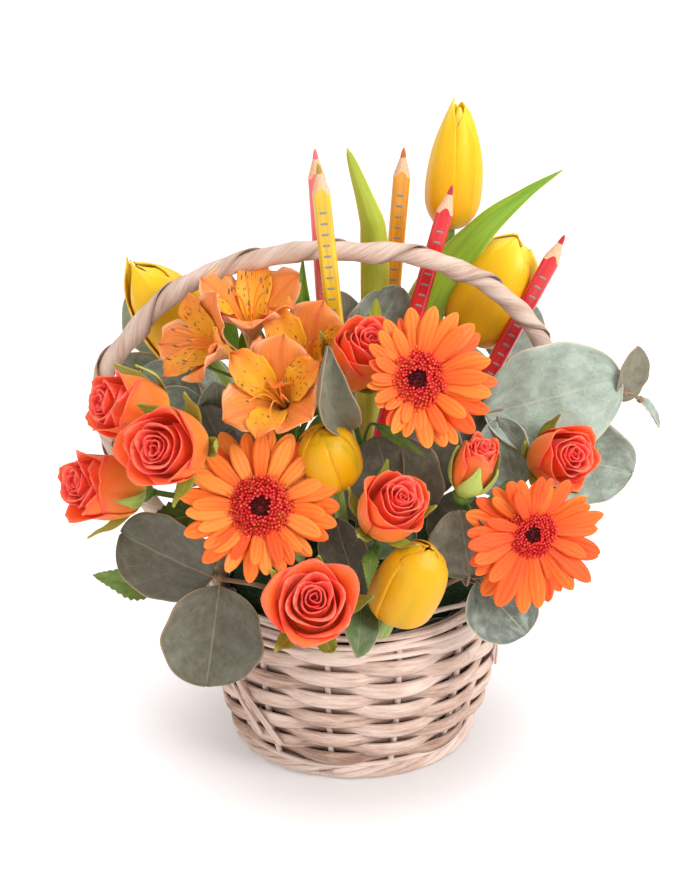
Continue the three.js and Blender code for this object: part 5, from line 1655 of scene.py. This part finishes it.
# Each sprig: its stem, then its leaves as foot, tip, facing, width, kind of face, shade, and where the stalk
# bends if it does.
SPRIGS = {
    "right": ([(35, -6, 82), (44, -9, 104), (56, -16, 135), (65, -21, 165), (78, -15, 172), (95, -12, 172),
               (121, -12, 174), (129, -8, 169)], [
        ((58, -23, 168), (119.5, -17, 182.5), (0.05, -0.96, 0.25), 50, SILVER, 1.0),
        ((64, -25, 167), (72, -38, 139), (-0.2, -0.9, 0.3), 24, SILVER, 0.6),
        ((86, -12, 148), (127, -12, 134), (0.1, -1, 0), 42, SILVER, 0.7, (66, -16, 152)),
        ((58, -14, 150), (49, -20, 180), (0.1, -0.95, 0.2), 25, DUSKY, 0.8),
        ((120, -12, 170), (127, -11, 195), (0.5, -0.85, 0.2), 16, DUSKY, 1.2),
        ((129, -8, 169), (139.5, -4, 154), (0.8, -0.3, 0.5), 8, SILVER, 0.8)]),
    "front_right": ([(32, -36, 80), (42, -43, 94), (51, -60, 107)], [
        ((54, -64, 106), (76, -72, 84), (0.2, -0.96, 0.2), 33, SILVER, 0.1),
        ((51, -64, 108), (46, -68, 141), (-0.1, -1, 0), 33, DUSKY, 1.0),
        ((45, -50, 112), (47, -47, 142), (-0.1, -0.95, 0.3), 27, DUSKY, 0.7),
        ((48, -56, 104), (66, -52, 122), (0.1, -0.95, 0.3), 22, DUSKY, 0.4, (50, -56, 100))]),
    "middle": ([(17, -31, 82), (22, -42, 106), (26, -50, 128)], [
        ((22, -50, 126), (10, -45, 166), (0, -0.97, 0.2), 48, DUSKY, 0.95),
        ((33, -46, 138), (34, -34, 175), (0.1, -0.95, 0.2), 27, DUSKY, 0.7),
        ((24, -44, 112), (4, -48, 134), (-0.1, -0.95, 0.3), 26, FRESH, 0.3, (18, -40, 106))]),
    "front_left": ([(-28, -30, 78), (-40, -42, 92), (-58, -72, 111)], [
        ((-61, -72, 112), (-103, -54, 124), (-0.3, -0.9, 0.25), 38, DUSKY, 0.7),
        ((-58, -75, 109), (-64, -89, 67), (0.05, -0.95, 0.3), 44, DUSKY, 0.85)]),
    "left": ([(-28, -2, 82), (-37, -3, 108), (-56, -10, 140), (-68, -16, 164)], [
        ((-70, -17, 168), (-94, -14, 186), (-0.2, -0.8, 0.5), 25, SILVER, 0.4),
        ((-68, -19, 166), (-84, -28, 181), (-0.2, -0.8, 0.5), 15, SILVER, 0.75),
        ((-62, -17, 160), (-60, -28, 184), (0.2, -0.9, 0.4), 20, SILVER, 0.6),
        ((-58, -15, 148), (-66, -30, 174), (-0.1, -0.9, 0.4), 26, DUSKY, 0.6, (-57, -12, 144)),
        ((-50, -14, 138), (-44, -24, 164), (0.1, -0.9, 0.4), 26, DUSKY, 0.4, (-48, -8, 130)),
        ((-78, -18, 150), (-106, -32, 158), (-0.3, -0.8, 0.5), 18, DUSKY, 0.8, (-60, -13, 148))]),
    "folded": ([(-5, -24, 82), (-8, -33, 108), (-9, -40, 150), (-6, -50, 174)], [
        ((-1.5, -57.5, 174.5), (-10, -64, 215), (0.35, -0.88, 0.3), 24, DUSKY, 1.25)]),
    "low_front": ([(1, -42, 76), (2, -52, 88), (3, -64, 98)], [
        ((3, -67, 101), (-8, -71, 138), (-0.2, -0.96, 0.2), 24, DUSKY, 0.3),
        ((3, -68, 98), (2, -98, 88), (0.3, -0.5, 0.8), 16, FRESH, 0.5)]),
    "back": ([(1, 30, 80), (1, 42, 115), (-2, 36, 150), (0, 25, 174)], [
        ((1, 20, 178), (22, 19, 212), (0.1, -0.98, 0.1), 30, SILVER, 0.5),
        ((-4, 27, 172), (-6, 26, 208), (-0.1, -0.98, 0.1), 26, SILVER, 0.8),
        ((-4, 42, 140), (-12, 58, 172), (-0.2, 0.9, 0.4), 30, SILVER, 0.6),
        ((4, 46, 122), (18, 74, 140), (0.2, 0.7, 0.7), 32, SILVER, 0.45),
        ((0, 53, 118), (-10, 84, 104), (-0.1, 0.6, 0.8), 34, DUSKY, 0.8)]),
    "back_left": ([(-24, 24, 80), (-34, 32, 106), (-56, 40, 136), (-78, 42, 164)], [
        ((-82, 45, 170), (-103, 45, 202), (-0.2, -0.95, 0.2), 28, SILVER, 0.8),
        ((-82, 36, 165), (-110, 17, 178), (-0.2, -0.9, 0.3), 14, SILVER, 0.6),
        ((-58, 42, 138), (-70, 66, 160), (-0.4, 0.8, 0.4), 28, SILVER, 0.5),
        ((-44, 38, 120), (-60, 70, 118), (-0.3, 0.7, 0.7), 32, DUSKY, 0.7),
        ((-50, 34, 116), (-86, 36, 104), (-0.5, 0.3, 0.8), 32, SILVER, 0.4)]),
    "back_right": ([(24, 34, 78), (36, 38, 104), (54, 44, 134), (66, 50, 160)], [
        ((68, 53, 164), (84, 58, 192), (0.3, 0.9, 0.3), 28, SILVER, 0.65),
        ((60, 50, 146), (40, 64, 170), (-0.1, 0.9, 0.4), 27, SILVER, 0.5),
        ((58, 44, 130), (92, 46, 134), (0.5, 0.6, 0.6), 30, SILVER, 0.7),
        ((44, 44, 116), (56, 76, 108), (0.3, 0.6, 0.7), 33, DUSKY, 0.8),
        ((46, 36, 110), (80, 30, 98), (0.5, 0.2, 0.8), 31, SILVER, 0.35)]),
}

for name, (stem, leaves) in SPRIGS.items():
    line = smooth_line(stem, 8)
    bits = [tube(line, np.linspace(1.45, 0.95, len(line)), 9, tone=0.2)]
    for knot in stem[2:]:
        joint = [np.add(knot, (0, 0, high)) for high in (-1.6, -0.6, 0.6, 1.6)]
        bits.append(tube(joint, [0.7, 1.75, 1.7, 0.7], 9, tone=0.9))
    shut = float(name == "folded")
    for number, (base, tip, facing, width, kind, shade, *bend) in enumerate(leaves):
        bits += leaf_on_stalk(
            stem, base, tip, facing, width, bend[0] if bend else None, 0.14, 0.72, 0.5, tone=shade,
            cup=0.10 + 0.05 * (number % 2), arch=0.035, droop=0.05, wave=0.8, seed=number, finish=kind,
            thickness=0.75, rows=34, columns=21, roll=0.25 * (-1) ** number, fold=0.12 + 0.68 * shut,
            point=0.5 * shut, bow=0.16 * shut)
    piece("eucalyptus_" + name, bits, [twig_bark, silver_leaf, dusky_leaf, fresh_leaf])

# ---------------------------------------------------------------- studio
# A white table under soft light from the front right and from above, with a weak one from the left, so that
# shadows stay pale.

floor_mesh = bpy.data.meshes.new("floor")
floor_mesh.from_pydata([(-6, -6, 0), (6, -6, 0), (6, 6, 0), (-6, 6, 0)], [], [(0, 1, 2, 3)])
table = bpy.data.objects.new("floor", floor_mesh)
bpy.context.scene.collection.objects.link(table)
table_top, tree, shader = new_finish("table_top", 0.6, Specular_IOR_Level=0.2)
shader.inputs["Base Color"].default_value = (0.50, 0.485, 0.48, 1)
# The table glows by itself, in a faint pink, and less close to the basket: a painted shadow round its foot.
shader.inputs["Emission Color"].default_value = (1, 0.95, 0.94, 1)
place = node(tree, "ShaderNodeTexCoord").outputs["Object"]
away = node(tree, "ShaderNodeVectorMath", {0: place}, operation="LENGTH").outputs["Value"]
feed(tree, shader.inputs["Emission Strength"], ramp_of(tree, away, 0.05, 0.135, 0.29, 0.72))
floor_mesh.materials.append(table_top)


def soft_light(name, place, size, power):
    """A square soft light that faces the flowers."""
    data = bpy.data.lights.new(name, "AREA")
    data.size = size
    data.energy = power
    lamp = bpy.data.objects.new(name, data)
    lamp.location = place
    lamp.rotation_euler = (Vector((0, 0, 0.14)) - Vector(place)).to_track_quat("-Z", "Y").to_euler()
    bpy.context.scene.collection.objects.link(lamp)


soft_light("key", (1.25, -1.05, 1.3), 0.9, 30)
soft_light("fill", (-1.4, -1.2, 0.9), 1.6, 6)
soft_light("top", (0.1, 0.5, 1.8), 1.4, 12)
sky = bpy.data.worlds.new("sky")
sky.use_nodes = True
sky.node_tree.nodes["Background"].inputs["Color"].default_value = (1, 1, 1, 1)
sky.node_tree.nodes["Background"].inputs["Strength"].default_value = 0.72
bpy.context.scene.world = sky
bpy.context.scene.view_settings.view_transform = "Standard"
